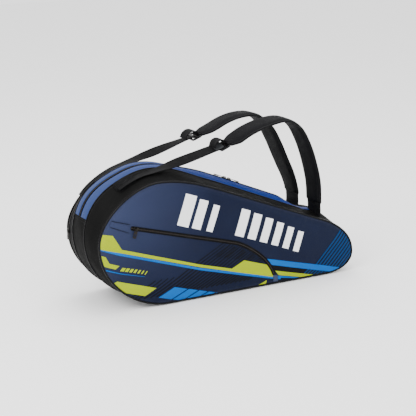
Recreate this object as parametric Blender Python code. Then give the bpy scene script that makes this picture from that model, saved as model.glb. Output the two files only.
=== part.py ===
"""A six-racket tournament bag, as the flat-sewn pieces that it is made of.

Metres, +Z up. The bag stands on its base at z = 0, its head end at -X, its handle end at +X
and its printed side panel facing -Y. Each sewn panel, zip, slider and strap is an object of its own.
The side walls follow one teardrop outline in X and Z. A station is a distance along it,
counted from the right end of the base, round the handle end, over the top and down the head.
"""

import math

import bmesh
import bpy
import numpy as np
from mathutils import Matrix, Vector
from mathutils.geometry import interpolate_bezier

# The body
EDGE_Y = 0.1000  # the side panels' sewn edges, either side of the middle plane
BULGE = 0.0050  # how far a side panel swells past its edge
WALL = 0.0030  # laminated fabric with its foam
GAP = 0.0003  # between pieces that touch
END_GAP = 0.0006  # at the ends of bands that meet at an angle
BASE_Z = 0.0053  # the outline's lowest line, above the floor
PIPING_R = 0.0024
SEAM_PIPING_R = 0.0016
CROWN_POWER = 2.4  # how square the crown of the gusset is across the bag
RIDGE = 0.0125  # how far the main zip stands up between its strips
RIDGE_X = (-0.170, -0.050, 0.180, 0.250)  # where the ridge begins, is full, is still full and ends
DOME = 0.0150  # the full compartments' extra bulge at the head's shoulder
DOME_AT = (-0.345, 0.266)
DOME_REACH = 0.0700
DOME_HALF_WIDTH = 0.0750
TOP_Z = 0.1200  # neither reaches below this
STATION_STEP = 0.025

# Seams across the bag, from the middle plane
ZIP_HALF = 0.0045
SEAM_Y = 0.0360  # blue strip to black gusset
REAR_ZIP_Y = 0.0800
REAR_ZIP_HALF = 0.0042

# The outline's knots: x, z, the handle before, the handle after, and the gusset's crown there
OUTLINE = [
    ((0.300, BASE_Z), (-0.100, 0.0), (0.050, 0.0), 0.000),
    ((0.383, 0.055), (0.0, -0.028), (0.0, 0.045), 0.006),
    ((0.300, 0.153), (0.045, -0.0215), (-0.100, 0.0394), 0.009),
    ((-0.050, 0.291), (0.100, -0.0394), (-0.052, 0.019), 0.014),
    ((-0.215, 0.328), (0.060, 0.0), (-0.075, 0.0), 0.027),
    ((-0.383, 0.185), (0.0, 0.065), (0.0, -0.110), 0.013),
    ((-0.190, BASE_Z), (-0.085, 0.0), (0.100, 0.0), 0.000),
]
BEZIER_STEPS = 24

# Where pieces begin and end, as points near the outline
HANDLE_TOP = (0.247, 0.174)  # the zips and strips stop here
HEAD_LOW = (-0.395, 0.238)  # the main zip and strips start here
REAR_ZIP_LOW = (-0.385, 0.150)

# Straps
STRAP_Y = 0.0560
STRAP_WIDTH = 0.0700
STRAP_THICK = 0.0090
WEBBING_WIDTH = 0.0360
WEBBING_Y = 0.0576  # clears the seam piping and the rear zip
WEBBING_THICK = 0.0020
STRAP_FOOT = (0.284, 0.1745)
STRAP_FOOT_TOP = (0.283, 0.2000)
NEAR_PAD = [(0.283, 0.2025), (0.279, 0.262), (0.262, 0.325), (0.240, 0.380), (0.212, 0.424),
            (0.172, 0.446), (0.120, 0.442), (0.066, 0.426), (0.028, 0.407), (0.004, 0.397)]
FAR_PAD = [(0.283, 0.2030), (0.279, 0.222), (0.266, 0.258), (0.240, 0.312), (0.214, 0.366), (0.188, 0.408),
           (0.150, 0.440), (0.108, 0.444), (0.062, 0.435), (0.016, 0.416), (-0.020, 0.403)]
NEAR_WEBBING_LOW = (-0.198, 0.3585)
FAR_WEBBING_LOW = (-0.250, 0.3565)
ANCHOR_LENGTH = 0.086
LOCK_SIZE = (0.028, 0.050, 0.004)

# Zip sliders and their pullers
SLIDER_LENGTH = 0.014
SLIDER_WIDTH = 0.009
SLIDER_HEIGHT = 0.0020
BRIDGE_WIDTH = 0.0030
PIVOT_HEIGHT = 0.0031
PULL_WIDTH = 0.0090
PULL_LENGTH = 0.0250
MAIN_ZIP_MEET_X = 0.036  # where the two main sliders meet
REAR_SLIDER_Z = 0.180

# The accessory pocket in the printed panel
POCKET_ZIP_LOW = (-0.299, 0.2240)
POCKET_ZIP_KNEE = (-0.020, 0.1460)
POCKET_ZIP_BEND = [(0.020, 0.1330), (0.062, 0.1080), (0.095, 0.0800), (0.117, 0.0520), (0.128, 0.0300)]
POCKET_ZIP_WIDTH = 0.0110
POCKET_ZIP_THICK = 0.0010
POCKET_DEPTH = 0.0150
POCKET_CORNERS = [(-0.285, 0.205), (-0.025, 0.132), (0.050, 0.098), (0.105, 0.050), (0.105, 0.040),
                  (-0.190, 0.040), (-0.285, 0.110)]


def clear_scene():
    for thing in list(bpy.data.objects):
        bpy.data.objects.remove(thing, do_unlink=True)


def material(name, colour, roughness, metallic=0.0):
    found = bpy.data.materials.get(name)
    if found:
        return found
    made = bpy.data.materials.new(name)
    made.use_nodes = True
    shader = made.node_tree.nodes["Principled BSDF"]
    shader.inputs["Base Color"].default_value = (*colour, 1.0)
    shader.inputs["Roughness"].default_value = roughness
    shader.inputs["Metallic"].default_value = metallic
    return made


MATERIALS = {
    "navy": ((0.035, 0.048, 0.090), 0.45, 0.0),
    "blue": ((0.060, 0.130, 0.320), 0.55, 0.0),
    "black": ((0.020, 0.020, 0.021), 0.60, 0.0),
    "webbing": ((0.012, 0.012, 0.014), 0.75, 0.0),
    "lining": ((0.100, 0.100, 0.110), 0.80, 0.0),
    "plastic": ((0.030, 0.030, 0.032), 0.40, 0.0),
    "metal": ((0.060, 0.060, 0.065), 0.30, 1.0),
}


def finish(name, mesh, slot):
    """A mesh as a named object with its material."""
    thing = bpy.data.objects.new(name, mesh)
    bpy.context.collection.objects.link(thing)
    thing.data.materials.append(material(slot, *MATERIALS[slot]))
    return thing


def from_bmesh(name, work, slot):
    bmesh.ops.recalc_face_normals(work, faces=work.faces)
    mesh = bpy.data.meshes.new(name)
    work.to_mesh(mesh)
    work.free()
    return finish(name, mesh, slot)


# The outline


def outline_points():
    """Closely spaced points on the outline, each with its crown height."""
    points = []
    for i, (knot, _, after, crown) in enumerate(OUTLINE):
        follow, before, _, next_crown = OUTLINE[(i + 1) % len(OUTLINE)]
        start, end = Vector(knot), Vector(follow)
        curve = interpolate_bezier(start, start + Vector(after), end + Vector(before), end, BEZIER_STEPS + 1)
        for j, point in enumerate(curve[:-1]):
            ease = (1.0 - math.cos(math.pi * j / BEZIER_STEPS)) / 2.0
            points.append((point.x, point.y, crown + (next_crown - crown) * ease))
    return np.array(points + points[:1])


FINE = outline_points()
ALONG = np.concatenate([[0.0], np.cumsum(np.hypot(*np.diff(FINE[:, :2], axis=0).T))])
PERIMETER = ALONG[-1]
COUNT = round(PERIMETER / STATION_STEP)
STEP = PERIMETER / COUNT


def on_outline(s):
    """The point, the outward normal and the crown height at a station."""
    def at(t):
        t = t % PERIMETER
        return np.array([np.interp(t, ALONG, FINE[:, k]) for k in range(3)])

    here = at(s)
    tangent = (at(s + STEP / 2) - at(s - STEP / 2))[:2]
    tangent /= np.hypot(*tangent)
    return here[:2], np.array([tangent[1], -tangent[0]]), here[2]


STATIONS = [on_outline(i * STEP) for i in range(COUNT)]


def station_near(x, z):
    """The number of the station closest to a point."""
    gaps = [math.hypot(point[0] - x, point[1] - z) for point, _, _ in STATIONS]
    return gaps.index(min(gaps))


def crown_at(height, y):
    return height * (1.0 - min(abs(y) / EDGE_Y, 1.0) ** CROWN_POWER)


def ease(t):
    t = min(max(t, 0.0), 1.0)
    return t * t * (3.0 - 2.0 * t)


def swell(point, y):
    """How far the gusset stands past its crown: the ridge under the main zip, and the head's dome."""
    x, z = point
    if z < TOP_Z:
        return 0.0
    start, full, still, end = RIDGE_X
    along = ease((x - start) / (full - start)) * ease((end - x) / (end - still))
    ridge = RIDGE * along * max(0.0, 1.0 - (abs(y) / SEAM_Y) ** 1.3)
    reach = math.hypot(x - DOME_AT[0], z - DOME_AT[1]) / DOME_REACH
    return ridge + DOME * math.exp(-reach * reach) * max(0.0, 1.0 - (y / DOME_HALF_WIDTH) ** 2)


def surface(i, y, lift=0.0):
    """A point on the gusset's outer surface at station i, lifted along the normal."""
    point, normal, crown = STATIONS[i % COUNT]
    x, z = point + normal * (crown_at(crown, y) + swell(point, y) + lift)
    return Vector((x, y, z))


# Makers of sewn pieces


def band(name, slot, first, last, y_from, y_to, rows=2, lift=0.0, thick=WALL):
    """A strip of gusset from one station to another, between two seams, with a gap at its ends."""
    work = bmesh.new()
    ys = [y_from + (y_to - y_from) * k / rows for k in range(rows + 1)]
    span = range(first, last + 1)

    def skin(height):
        rows_of_points = [[surface(i, y, height) for y in ys] for i in span]
        share = END_GAP / STEP
        for end, follow in ((0, 1), (-1, -2)):
            pairs = list(zip(rows_of_points[end], rows_of_points[follow]))
            rows_of_points[end] = [one.lerp(other, share) for one, other in pairs]
        return [[work.verts.new(point) for point in row] for row in rows_of_points]

    outer, inner = skin(lift), skin(lift - thick)
    for i in range(len(outer) - 1):
        for k in range(rows):
            work.faces.new((outer[i][k], outer[i + 1][k], outer[i + 1][k + 1], outer[i][k + 1]))
            work.faces.new((inner[i][k], inner[i][k + 1], inner[i + 1][k + 1], inner[i + 1][k]))
        for k in (0, rows):
            work.faces.new((outer[i][k], inner[i][k], inner[i + 1][k], outer[i + 1][k]))
    for i in (0, len(outer) - 1):
        for k in range(rows):
            work.faces.new((outer[i][k], outer[i][k + 1], inner[i][k + 1], inner[i][k]))
    return from_bmesh(name, work, slot)


def tube_on_seam(name, y, radius, first=0, last=None, sides=6):
    """Piping on the gusset's surface: closed all round, or between two stations."""
    work = bmesh.new()
    closed = last is None
    span = range(COUNT) if closed else range(first, last + 1)
    rings = []
    for i in span:
        _, normal, _ = STATIONS[i % COUNT]
        middle = surface(i, y, radius + GAP + 0.0001)
        out = Vector((normal[0], 0.0, normal[1]))
        ring = []
        for k in range(sides):
            angle = 2.0 * math.pi * (k + 0.5) / sides
            ring.append(work.verts.new(middle + radius * (math.cos(angle) * out + math.sin(angle) * Vector((0, 1, 0)))))
        rings.append(ring)
    pairs = list(zip(rings, rings[1:] + rings[:1])) if closed else list(zip(rings, rings[1:]))
    for ring, follow in pairs:
        for k in range(sides):
            n = (k + 1) % sides
            work.faces.new((ring[k], ring[n], follow[n], follow[k]))
    if not closed:
        work.faces.new(rings[0])
        work.faces.new(rings[-1])
    return from_bmesh(name, work, "black")


def side_panel(name, slot, side):
    """A teardrop panel that swells outwards, with its foam's thickness."""
    work = bmesh.new()
    steps = [(0.0, 0.0), (0.012, 0.7), (0.035, 1.0)]

    def loop(inset, y):
        made = []
        for point, normal, _ in STATIONS:
            x, z = point - normal * inset
            made.append(work.verts.new((x, y, z)))
        return made

    outer = [loop(inset, side * (EDGE_Y + BULGE * share)) for inset, share in steps]
    inner = [loop(inset, side * (EDGE_Y - WALL + BULGE * share)) for inset, share in steps]
    loops = outer[::-1] + inner
    for one, other in zip(loops, loops[1:]):
        for k in range(COUNT):
            n = (k + 1) % COUNT
            work.faces.new((one[k], one[n], other[n], other[k]))
    work.faces.new(outer[-1])
    work.faces.new(inner[-1])
    return from_bmesh(name, work, slot)


def flat_plate(name, slot, inset, y_from, y_to):
    """A flat sheet of the outline's shape, a little smaller all round."""
    work = bmesh.new()
    loops = []
    for y in (y_from, y_to):
        points = [point - normal * inset for point, normal, _ in STATIONS]
        loops.append([work.verts.new((x, y, z)) for x, z in points])
    for k in range(COUNT):
        n = (k + 1) % COUNT
        work.faces.new((loops[0][k], loops[0][n], loops[1][n], loops[1][k]))
    for loop in loops:
        work.faces.new(loop)
    return from_bmesh(name, work, slot)


def smooth_path(points, count):
    """A Catmull-Rom curve through hand-set points, as evenly spaced points in X and Z."""
    points = np.array(points)
    ends = [2 * points[0] - points[1]], [2 * points[-1] - points[-2]]
    padded = np.concatenate([ends[0], points, ends[1]])
    fine = []
    for a, b, c, d in zip(padded, padded[1:], padded[2:], padded[3:]):
        for t in np.linspace(0.0, 1.0, 12, endpoint=False):
            fine.append(0.5 * (2 * b + (c - a) * t + (2 * a - 5 * b + 4 * c - d) * t * t
                               + (3 * b - a - 3 * c + d) * t ** 3))
    fine = np.array(fine + [points[-1]])
    along = np.concatenate([[0.0], np.cumsum(np.hypot(*np.diff(fine, axis=0).T))])
    at = np.linspace(0.0, along[-1], count)
    return np.stack([np.interp(at, along, fine[:, k]) for k in (0, 1)], axis=1)


def ribbon(name, slot, path, y, width, thick):
    """A flat strap with its width along Y, its middle on a path in X and Z."""
    work = bmesh.new()
    path = [np.array(p) for p in path]
    rings = []
    for k, point in enumerate(path):
        before, after = path[max(k - 1, 0)], path[min(k + 1, len(path) - 1)]
        tangent = (after - before) / np.hypot(*(after - before))
        across = np.array([-tangent[1], tangent[0]]) * thick / 2.0
        corners = [(point + across, -1), (point + across, 1), (point - across, 1), (point - across, -1)]
        rings.append([work.verts.new((p[0], y + side * width / 2.0, p[1])) for p, side in corners])
    for ring, follow in zip(rings, rings[1:]):
        for k in range(4):
            n = (k + 1) % 4
            work.faces.new((ring[k], ring[n], follow[n], follow[k]))
    work.faces.new(rings[0])
    work.faces.new(rings[-1])
    return from_bmesh(name, work, slot)


def frame_at(origin, along, out):
    """A matrix whose x runs along, whose z points out, placed at origin."""
    x, z = Vector(along).normalized(), Vector(out).normalized()
    y = z.cross(x)
    return Matrix.Translation(origin) @ Matrix((x, y, z)).transposed().to_4x4()


def rounded(length, width, radius, centre=(0.0, 0.0), steps=3):
    """A rectangle's outline with round corners."""
    points = []
    for k, (sx, sy) in enumerate([(1, 1), (-1, 1), (-1, -1), (1, -1)]):
        for j in range(steps + 1):
            angle = math.pi / 2 * (k + j / steps)
            points.append((centre[0] + sx * (length / 2 - radius) + radius * math.cos(angle),
                           centre[1] + sy * (width / 2 - radius) + radius * math.sin(angle)))
    return points


def plate_mesh(loops, thick):
    """A flat plate about z = 0: the first loop is its outline, the others are holes."""
    work = bmesh.new()
    edges = []
    for loop in loops:
        verts = [work.verts.new((x, y, -thick / 2.0)) for x, y in loop]
        edges += [work.edges.new(pair) for pair in zip(verts, verts[1:] + verts[:1])]
    bmesh.ops.triangle_fill(work, use_beauty=True, edges=edges)
    grown = bmesh.ops.extrude_face_region(work, geom=work.faces[:])
    raised = [part for part in grown["geom"] if isinstance(part, bmesh.types.BMVert)]
    bmesh.ops.translate(work, verts=raised, vec=(0.0, 0.0, thick))
    return work


def plate(name, slot, loops, thick, matrix):
    thing = from_bmesh(name, plate_mesh(loops, thick), slot)
    thing.matrix_world = matrix
    return thing


# The body's pieces


def front_side(handle, head, low):
    side_panel("front_panel", "navy", -1)
    tube_on_seam("front_piping", -EDGE_Y + 0.0015, PIPING_R)
    band("front_gusset", "black", handle, low, -EDGE_Y + WALL + 0.0005, -SEAM_Y - GAP, rows=3)
    tube_on_seam("front_seam_piping", -SEAM_Y, SEAM_PIPING_R, handle, low)
    band("front_strip", "blue", handle, head, -SEAM_Y + GAP, -ZIP_HALF - GAP)
    band("front_zip_tape", "black", handle, head, -ZIP_HALF, -GAP / 2, rows=1)


def core(handle, head, low, rear_low):
    band("base_panel", "black", low, COUNT, -EDGE_Y + 0.0045, EDGE_Y - 0.0045, rows=1, lift=BASE_Z,
         thick=BASE_Z)
    band("handle_patch", "black", 0, handle, -EDGE_Y + WALL + 0.0005, EDGE_Y - WALL - 0.0005, rows=8)
    band("head_guard", "black", head, low, -SEAM_Y + SEAM_PIPING_R + GAP, SEAM_Y - GAP, rows=4)
    band("rear_strip", "blue", handle, head, ZIP_HALF + GAP, SEAM_Y - GAP)
    band("core_zip_tape", "black", handle, head, GAP / 2, ZIP_HALF, rows=1)
    tube_on_seam("rear_seam_piping", SEAM_Y, SEAM_PIPING_R, handle, low)
    zip_from, zip_to = REAR_ZIP_Y - REAR_ZIP_HALF, REAR_ZIP_Y + REAR_ZIP_HALF
    band("rear_gusset_inner", "black", handle, low, SEAM_Y + GAP, zip_from - GAP)
    band("rear_gusset_end", "black", rear_low, low, zip_from, zip_to, rows=1)
    band("rear_zip_tape_inner", "black", handle, rear_low, zip_from, REAR_ZIP_Y - GAP / 2, rows=1)
    flat_plate("divider", "lining", 0.010, SEAM_Y + 0.006, SEAM_Y + 0.008)


def back_side(handle, low, rear_low):
    zip_to = REAR_ZIP_Y + REAR_ZIP_HALF
    side_panel("back_panel", "navy", 1)
    tube_on_seam("back_piping", EDGE_Y - 0.0015, PIPING_R)
    band("rear_gusset_outer", "black", handle, low, zip_to + GAP, EDGE_Y - WALL - 0.0005, rows=1)
    band("rear_zip_tape_outer", "black", handle, rear_low, REAR_ZIP_Y + GAP / 2, zip_to, rows=1)


# Straps


def strap(which, side, pad, webbing_low):
    """One shoulder strap: its sewn foot, padded length, ladder lock, webbing and sewn anchor."""
    y = side * STRAP_Y
    ribbon(f"{which}_strap_foot", "black", [STRAP_FOOT, STRAP_FOOT_TOP], y, STRAP_WIDTH, STRAP_THICK)
    path = smooth_path(pad, 20)
    ribbon(f"{which}_strap_pad", "black", path, y, STRAP_WIDTH, STRAP_THICK)
    end, before = path[-1], path[-2]
    along = (end - before) / np.hypot(*(end - before))
    out = np.array([along[1], -along[0]])
    if out[1] < 0:
        out = -out
    lock_at = end + along * (LOCK_SIZE[0] / 2 + 0.0008)
    frame = frame_at((lock_at[0], y, lock_at[1]), (along[0], 0, along[1]), (out[0], 0, out[1]))
    slots = [rounded(0.0065, 0.041, 0.0015, (x, 0.0)) for x in (-0.0065, 0.0065)]
    plate(f"{which}_ladder_lock", "plastic", [rounded(LOCK_SIZE[0], LOCK_SIZE[1], 0.004), *slots], LOCK_SIZE[2], frame)
    below = LOCK_SIZE[2] / 2 + WEBBING_THICK / 2 + 0.0006
    start = lock_at - out * below - along * 0.010
    turn = lock_at - out * (below + 0.0015) + along * 0.016
    ribbon(f"{which}_webbing", "webbing", smooth_path([start, turn, webbing_low], 10), side * WEBBING_Y, WEBBING_WIDTH,
           WEBBING_THICK)
    above = LOCK_SIZE[2] / 2 + WEBBING_THICK / 2 + 0.0006
    tail = [lock_at + out * above - along * 0.010, lock_at + out * (above + 0.004) + along * 0.004,
            lock_at + out * above + along * 0.030]
    ribbon(f"{which}_webbing_tail", "webbing", smooth_path(tail, 7), side * WEBBING_Y, WEBBING_WIDTH, WEBBING_THICK)
    first = station_near(webbing_low[0], webbing_low[1] - 0.02) + 1
    last = first + round(ANCHOR_LENGTH / STEP)
    band(f"{which}_strap_anchor", "webbing", first, last, side * WEBBING_Y - WEBBING_WIDTH / 2,
         side * WEBBING_Y + WEBBING_WIDTH / 2, rows=2, lift=0.0008 + WEBBING_THICK, thick=WEBBING_THICK)


# Zips


def slider(name, origin, along, out, pull):
    """A zip slider and its puller, which turns in the slider's bridge towards the pull direction."""
    frame = frame_at(Vector(origin), along, out)
    body = plate(name, "metal", [rounded(SLIDER_LENGTH, SLIDER_WIDTH, 0.003)], SLIDER_HEIGHT,
                 frame @ Matrix.Translation((0, 0, SLIDER_HEIGHT / 2)))
    pull_frame = frame_at(Vector(origin), pull, out)
    arch = [(-0.0045, 0.0015), (0.0045, 0.0015), (0.0045, 0.0042), (0.0033, 0.0054), (-0.0033, 0.0054),
            (-0.0045, 0.0042)]
    hole = [(-0.0030, 0.0018), (0.0030, 0.0018), (0.0030, 0.0042), (-0.0030, 0.0042)]
    side_on = pull_frame @ Matrix.Rotation(math.pi / 2, 4, "X")
    bridge = plate(f"{name}_bridge_cutter", "metal", [arch, hole], BRIDGE_WIDTH, side_on)
    bridge.hide_render = True
    bridge.display_type = "WIRE"
    union = body.modifiers.new("bridge", "BOOLEAN")
    union.operation = "UNION"
    union.object = bridge
    eye = rounded(0.0052, 0.0050, 0.0010, (0.0034, 0.0), steps=1)
    shape = rounded(PULL_LENGTH, PULL_WIDTH, 0.0018, (PULL_LENGTH / 2 - 0.0008, 0.0), steps=2)
    slot = rounded(0.0090, 0.0034, 0.0010, (0.0165, 0.0), steps=1)
    plate(name.replace("slider", "puller"), "metal", [shape, eye, slot], 0.0012,
          pull_frame @ Matrix.Translation((0, 0, PIVOT_HEIGHT)))


def zip_sliders():
    top = [surface(station_near(x, 0.25), 0.0) for x in (-0.04, 0.17)]
    along = (top[1] - top[0]).normalized()
    out = Vector((-along.z, 0.0, along.x))
    meet = top[0] + along * (MAIN_ZIP_MEET_X - top[0].x) / along.x + out * 0.0008
    for letter, way in (("a", -1), ("b", 1)):
        place = meet + along * way * (SLIDER_LENGTH / 2 + GAP)
        slider(f"main_slider_{letter}", place, along * way, out, along * way)
    head = station_near(-0.39, REAR_SLIDER_Z)
    spot, above, under = (surface(head + k, REAR_ZIP_Y) for k in (0, -1, 1))
    up = (above - under).normalized()
    slider("rear_slider", spot + Vector((-up.z, 0.0, up.x)) * 0.0012, up, Vector((-up.z, 0.0, up.x)), -up)
    low, knee = (Vector((x, 0.0, z)) for x, z in (POCKET_ZIP_LOW, POCKET_ZIP_KNEE))
    run = (knee - low).normalized()
    front = -EDGE_Y - BULGE - POCKET_ZIP_THICK - 2 * GAP
    spot = low + run * SLIDER_LENGTH
    slider("pocket_slider", (spot.x, front, spot.z), run, (0, -1, 0), run.cross(Vector((0, -1, 0))))


def pocket():
    """The accessory pocket: its curved zip on the panel, the flap and tab at its ends, and the pouch behind."""
    face = -EDGE_Y - BULGE - GAP
    path = [np.array(POCKET_ZIP_LOW), np.array(POCKET_ZIP_KNEE)]
    bend = smooth_path([POCKET_ZIP_KNEE, *POCKET_ZIP_BEND], 9)
    path = [*path, *bend[1:]]
    work = bmesh.new()
    rings = []
    for k, point in enumerate(path):
        before, after = path[max(k - 1, 0)], path[min(k + 1, len(path) - 1)]
        tangent = (after - before) / np.hypot(*(after - before))
        across = np.array([-tangent[1], tangent[0]]) * POCKET_ZIP_WIDTH / 2.0
        corners = [(point + across, 0), (point + across, 1), (point - across, 1), (point - across, 0)]
        rings.append([work.verts.new((p[0], face - POCKET_ZIP_THICK * far, p[1])) for p, far in corners])
    for ring, follow in zip(rings, rings[1:]):
        for k in range(4):
            n = (k + 1) % 4
            work.faces.new((ring[k], ring[n], follow[n], follow[k]))
    work.faces.new(rings[0])
    work.faces.new(rings[-1])
    from_bmesh("pocket_zip_tape", work, "black")
    outward = Matrix.Rotation(math.pi / 2, 4, "X")
    slope = math.atan2(POCKET_ZIP_KNEE[1] - POCKET_ZIP_LOW[1], POCKET_ZIP_KNEE[0] - POCKET_ZIP_LOW[0])
    at = Vector((POCKET_ZIP_LOW[0] - 0.0225, face - 0.0012, POCKET_ZIP_LOW[1] + 0.0062))
    plate("pocket_flap", "navy", [rounded(0.044, 0.018, 0.004)], 0.0016,
          Matrix.Translation(at) @ Matrix.Rotation(-slope, 4, "Y") @ outward)
    end = path[-1]
    plate("pocket_end_tab", "navy", [rounded(0.012, 0.016, 0.003)], 0.0014,
          Matrix.Translation((end[0] + 0.003, face - 0.0010, end[1] - 0.0095)) @ outward)
    pouch = bmesh.new()
    middle = np.mean(POCKET_CORNERS, axis=0)

    def loop(share, y):
        points = [middle + (np.array(p) - middle) * share for p in POCKET_CORNERS]
        return [pouch.verts.new((p[0], y, p[1])) for p in points]

    mouth = -EDGE_Y - BULGE + WALL + GAP
    loops = [loop(0.98, mouth + POCKET_DEPTH - 0.001), loop(0.98, mouth), loop(1.0, mouth),
             loop(1.0, mouth + POCKET_DEPTH)]
    for one, other in zip(loops, loops[1:]):
        for k in range(len(one)):
            n = (k + 1) % len(one)
            pouch.faces.new((one[k], one[n], other[n], other[k]))
    pouch.faces.new(loops[0])
    pouch.faces.new(loops[-1])
    from_bmesh("pocket_pouch", pouch, "lining")


def main():
    clear_scene()
    handle, head = station_near(*HANDLE_TOP), station_near(*HEAD_LOW)
    rear_low, low = station_near(*REAR_ZIP_LOW), math.ceil(ALONG[-1 - BEZIER_STEPS] / STEP)
    front_side(handle, head, low)
    core(handle, head, low, rear_low)
    back_side(handle, low, rear_low)
    pocket()
    strap("near", -1, NEAR_PAD, NEAR_WEBBING_LOW)
    strap("far", 1, FAR_PAD, FAR_WEBBING_LOW)
    zip_sliders()


main()
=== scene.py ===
"""A six-racket tournament bag: the sewn, padded and printed pieces on their jointed frame.

Metres, +Z up. The bag stands on its base at z = 0, its head end at -X, its handle end at +X
and its printed side panel facing -Y. A station s is a distance along the side walls' teardrop
outline, from the right end of the base, round the handle end, over the top and down the head.
"""

import math

import bmesh
import bpy
import numpy as np
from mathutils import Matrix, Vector, noise
from mathutils.bvhtree import BVHTree
from mathutils.geometry import delaunay_2d_cdt, interpolate_bezier


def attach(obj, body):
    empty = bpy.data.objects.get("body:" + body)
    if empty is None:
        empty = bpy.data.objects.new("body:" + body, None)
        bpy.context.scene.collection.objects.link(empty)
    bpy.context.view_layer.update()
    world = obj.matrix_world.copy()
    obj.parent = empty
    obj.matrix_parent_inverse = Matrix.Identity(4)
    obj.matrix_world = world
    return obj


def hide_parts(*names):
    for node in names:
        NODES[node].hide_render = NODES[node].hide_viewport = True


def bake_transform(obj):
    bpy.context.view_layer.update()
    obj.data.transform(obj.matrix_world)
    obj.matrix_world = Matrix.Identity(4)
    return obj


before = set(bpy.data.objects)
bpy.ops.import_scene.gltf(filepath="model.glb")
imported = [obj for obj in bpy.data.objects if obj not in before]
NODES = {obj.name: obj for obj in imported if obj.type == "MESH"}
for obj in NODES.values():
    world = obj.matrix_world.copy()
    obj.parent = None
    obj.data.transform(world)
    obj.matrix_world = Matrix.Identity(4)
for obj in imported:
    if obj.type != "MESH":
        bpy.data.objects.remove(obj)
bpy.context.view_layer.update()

# The body, as in the frame
EDGE_Y = 0.1000
WALL = 0.0030
BASE_Z = 0.0053
PIPING_R = 0.0024
SEAM_PIPING_R = 0.0016
CROWN_POWER = 2.4
ZIP_HALF = 0.0045
SEAM_Y = 0.0360
REAR_ZIP_Y = 0.0800
REAR_ZIP_HALF = 0.0042
OUTLINE = [
    ((0.300, BASE_Z), (-0.100, 0.0), (0.050, 0.0), 0.000),
    ((0.383, 0.055), (0.0, -0.028), (0.0, 0.045), 0.006),
    ((0.300, 0.153), (0.045, -0.0215), (-0.100, 0.0394), 0.009),
    ((-0.050, 0.291), (0.100, -0.0394), (-0.052, 0.019), 0.014),
    ((-0.215, 0.328), (0.060, 0.0), (-0.075, 0.0), 0.027),
    ((-0.383, 0.185), (0.0, 0.065), (0.0, -0.110), 0.013),
    ((-0.190, BASE_Z), (-0.085, 0.0), (0.100, 0.0), 0.000),
]
BEZIER_STEPS = 48
HANDLE_TOP = (0.247, 0.174)
HEAD_LOW = (-0.370, 0.230)
REAR_ZIP_LOW = (-0.381, 0.157)
RIDGE = 0.0125
RIDGE_X = (-0.170, -0.050, 0.180, 0.250)
DOME = 0.0150
DOME_AT = (-0.345, 0.266)
DOME_REACH = 0.0700
DOME_HALF_WIDTH = 0.0750
TOP_Z = 0.1200

# Straps, as in the frame
STRAP_Y = 0.0560
STRAP_WIDTH = 0.0700
WEBBING_Y = 0.0576
WEBBING_WIDTH = 0.0360
NEAR_PAD = [(0.283, 0.2025), (0.279, 0.262), (0.262, 0.325), (0.240, 0.380), (0.212, 0.424),
            (0.172, 0.446), (0.120, 0.442), (0.066, 0.426), (0.028, 0.407), (0.004, 0.397)]
FAR_PAD = [(0.283, 0.2030), (0.279, 0.222), (0.266, 0.258), (0.240, 0.312), (0.214, 0.366), (0.188, 0.408),
           (0.150, 0.440), (0.108, 0.444), (0.062, 0.435), (0.016, 0.416), (-0.020, 0.403)]
NEAR_FREE_WEBBING = [(-0.012, 0.3925), (-0.034, 0.3895), (-0.098, 0.3745), (-0.163, 0.3600), (-0.206, 0.3508)]
FAR_FREE_WEBBING = [(-0.034, 0.3985), (-0.060, 0.3935), (-0.113, 0.3800), (-0.168, 0.3655), (-0.236, 0.3490)]

# The pocket's zip in the printed panel
POCKET_ZIP = [(-0.299, 0.2240), (-0.199, 0.1962), (-0.120, 0.1740), (-0.020, 0.1460), (0.020, 0.1330),
              (0.062, 0.1080), (0.095, 0.0800), (0.117, 0.0520), (0.128, 0.0300)]

# Meshes
PANEL_CELL = 0.0065
FRONT_SWELL = 0.0058  # the simulated swell stays under this, so that the pocket's slider is proud
BACK_SWELL = 0.0090
PRINT_CELL = 0.0060
BAND_CELL = 0.0042
PRINT_LIFT = 0.00022  # each ink's height above the one under it
PRINT_THICK = 0.00025

# Sewing
GUSSET_EDGE_Y = 0.0972  # where the gusset meets the side panels' piping
STITCH_INSET = 0.0032  # from a strip's edge to its topstitching
STITCH_LIFT = 0.0001
STRIP_STITCH_LIFT = 0.0006
PATCH_STITCH_LIFT = 0.0014
PATCH_SEAM = 0.0045  # from the handle patches' upper ends to their stitches
GRIP_LENGTH = 0.0170  # moulded on the main zip's pulls


# Numbers

def ease(t):
    t = np.clip(t, 0.0, 1.0)
    return t * t * (3.0 - 2.0 * t)


def unit(vectors):
    return vectors / np.maximum(np.linalg.norm(vectors, axis=-1, keepdims=True), 1e-9)


def lengths_along(points):
    """The distance from a line's start to each of its points."""
    return np.concatenate([[0.0], np.cumsum(np.linalg.norm(np.diff(points, axis=0), axis=1))])


def leftward(path):
    """Unit directions to the left of a path in X and Z."""
    tangent = unit(np.gradient(path, axis=0))
    return np.stack([-tangent[:, 1], tangent[:, 0]], axis=1)


def ripple(x, y, seed=0.0):
    """Smooth noise from -1 to 1 at each pair of numbers."""
    flat = [noise.noise(Vector((a, b, seed))) for a, b in zip(np.ravel(x), np.ravel(y))]
    return np.array(flat).reshape(np.shape(x))


def outline_points():
    points = []
    for i, (knot, _, after, crown) in enumerate(OUTLINE):
        follow, before, _, next_crown = OUTLINE[(i + 1) % len(OUTLINE)]
        start, end = Vector(knot), Vector(follow)
        curve = interpolate_bezier(start, start + Vector(after), end + Vector(before), end, BEZIER_STEPS + 1)
        for j, point in enumerate(curve[:-1]):
            share = (1.0 - math.cos(math.pi * j / BEZIER_STEPS)) / 2.0
            points.append((point.x, point.y, crown + (next_crown - crown) * share))
    return np.array(points + points[:1])


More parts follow.
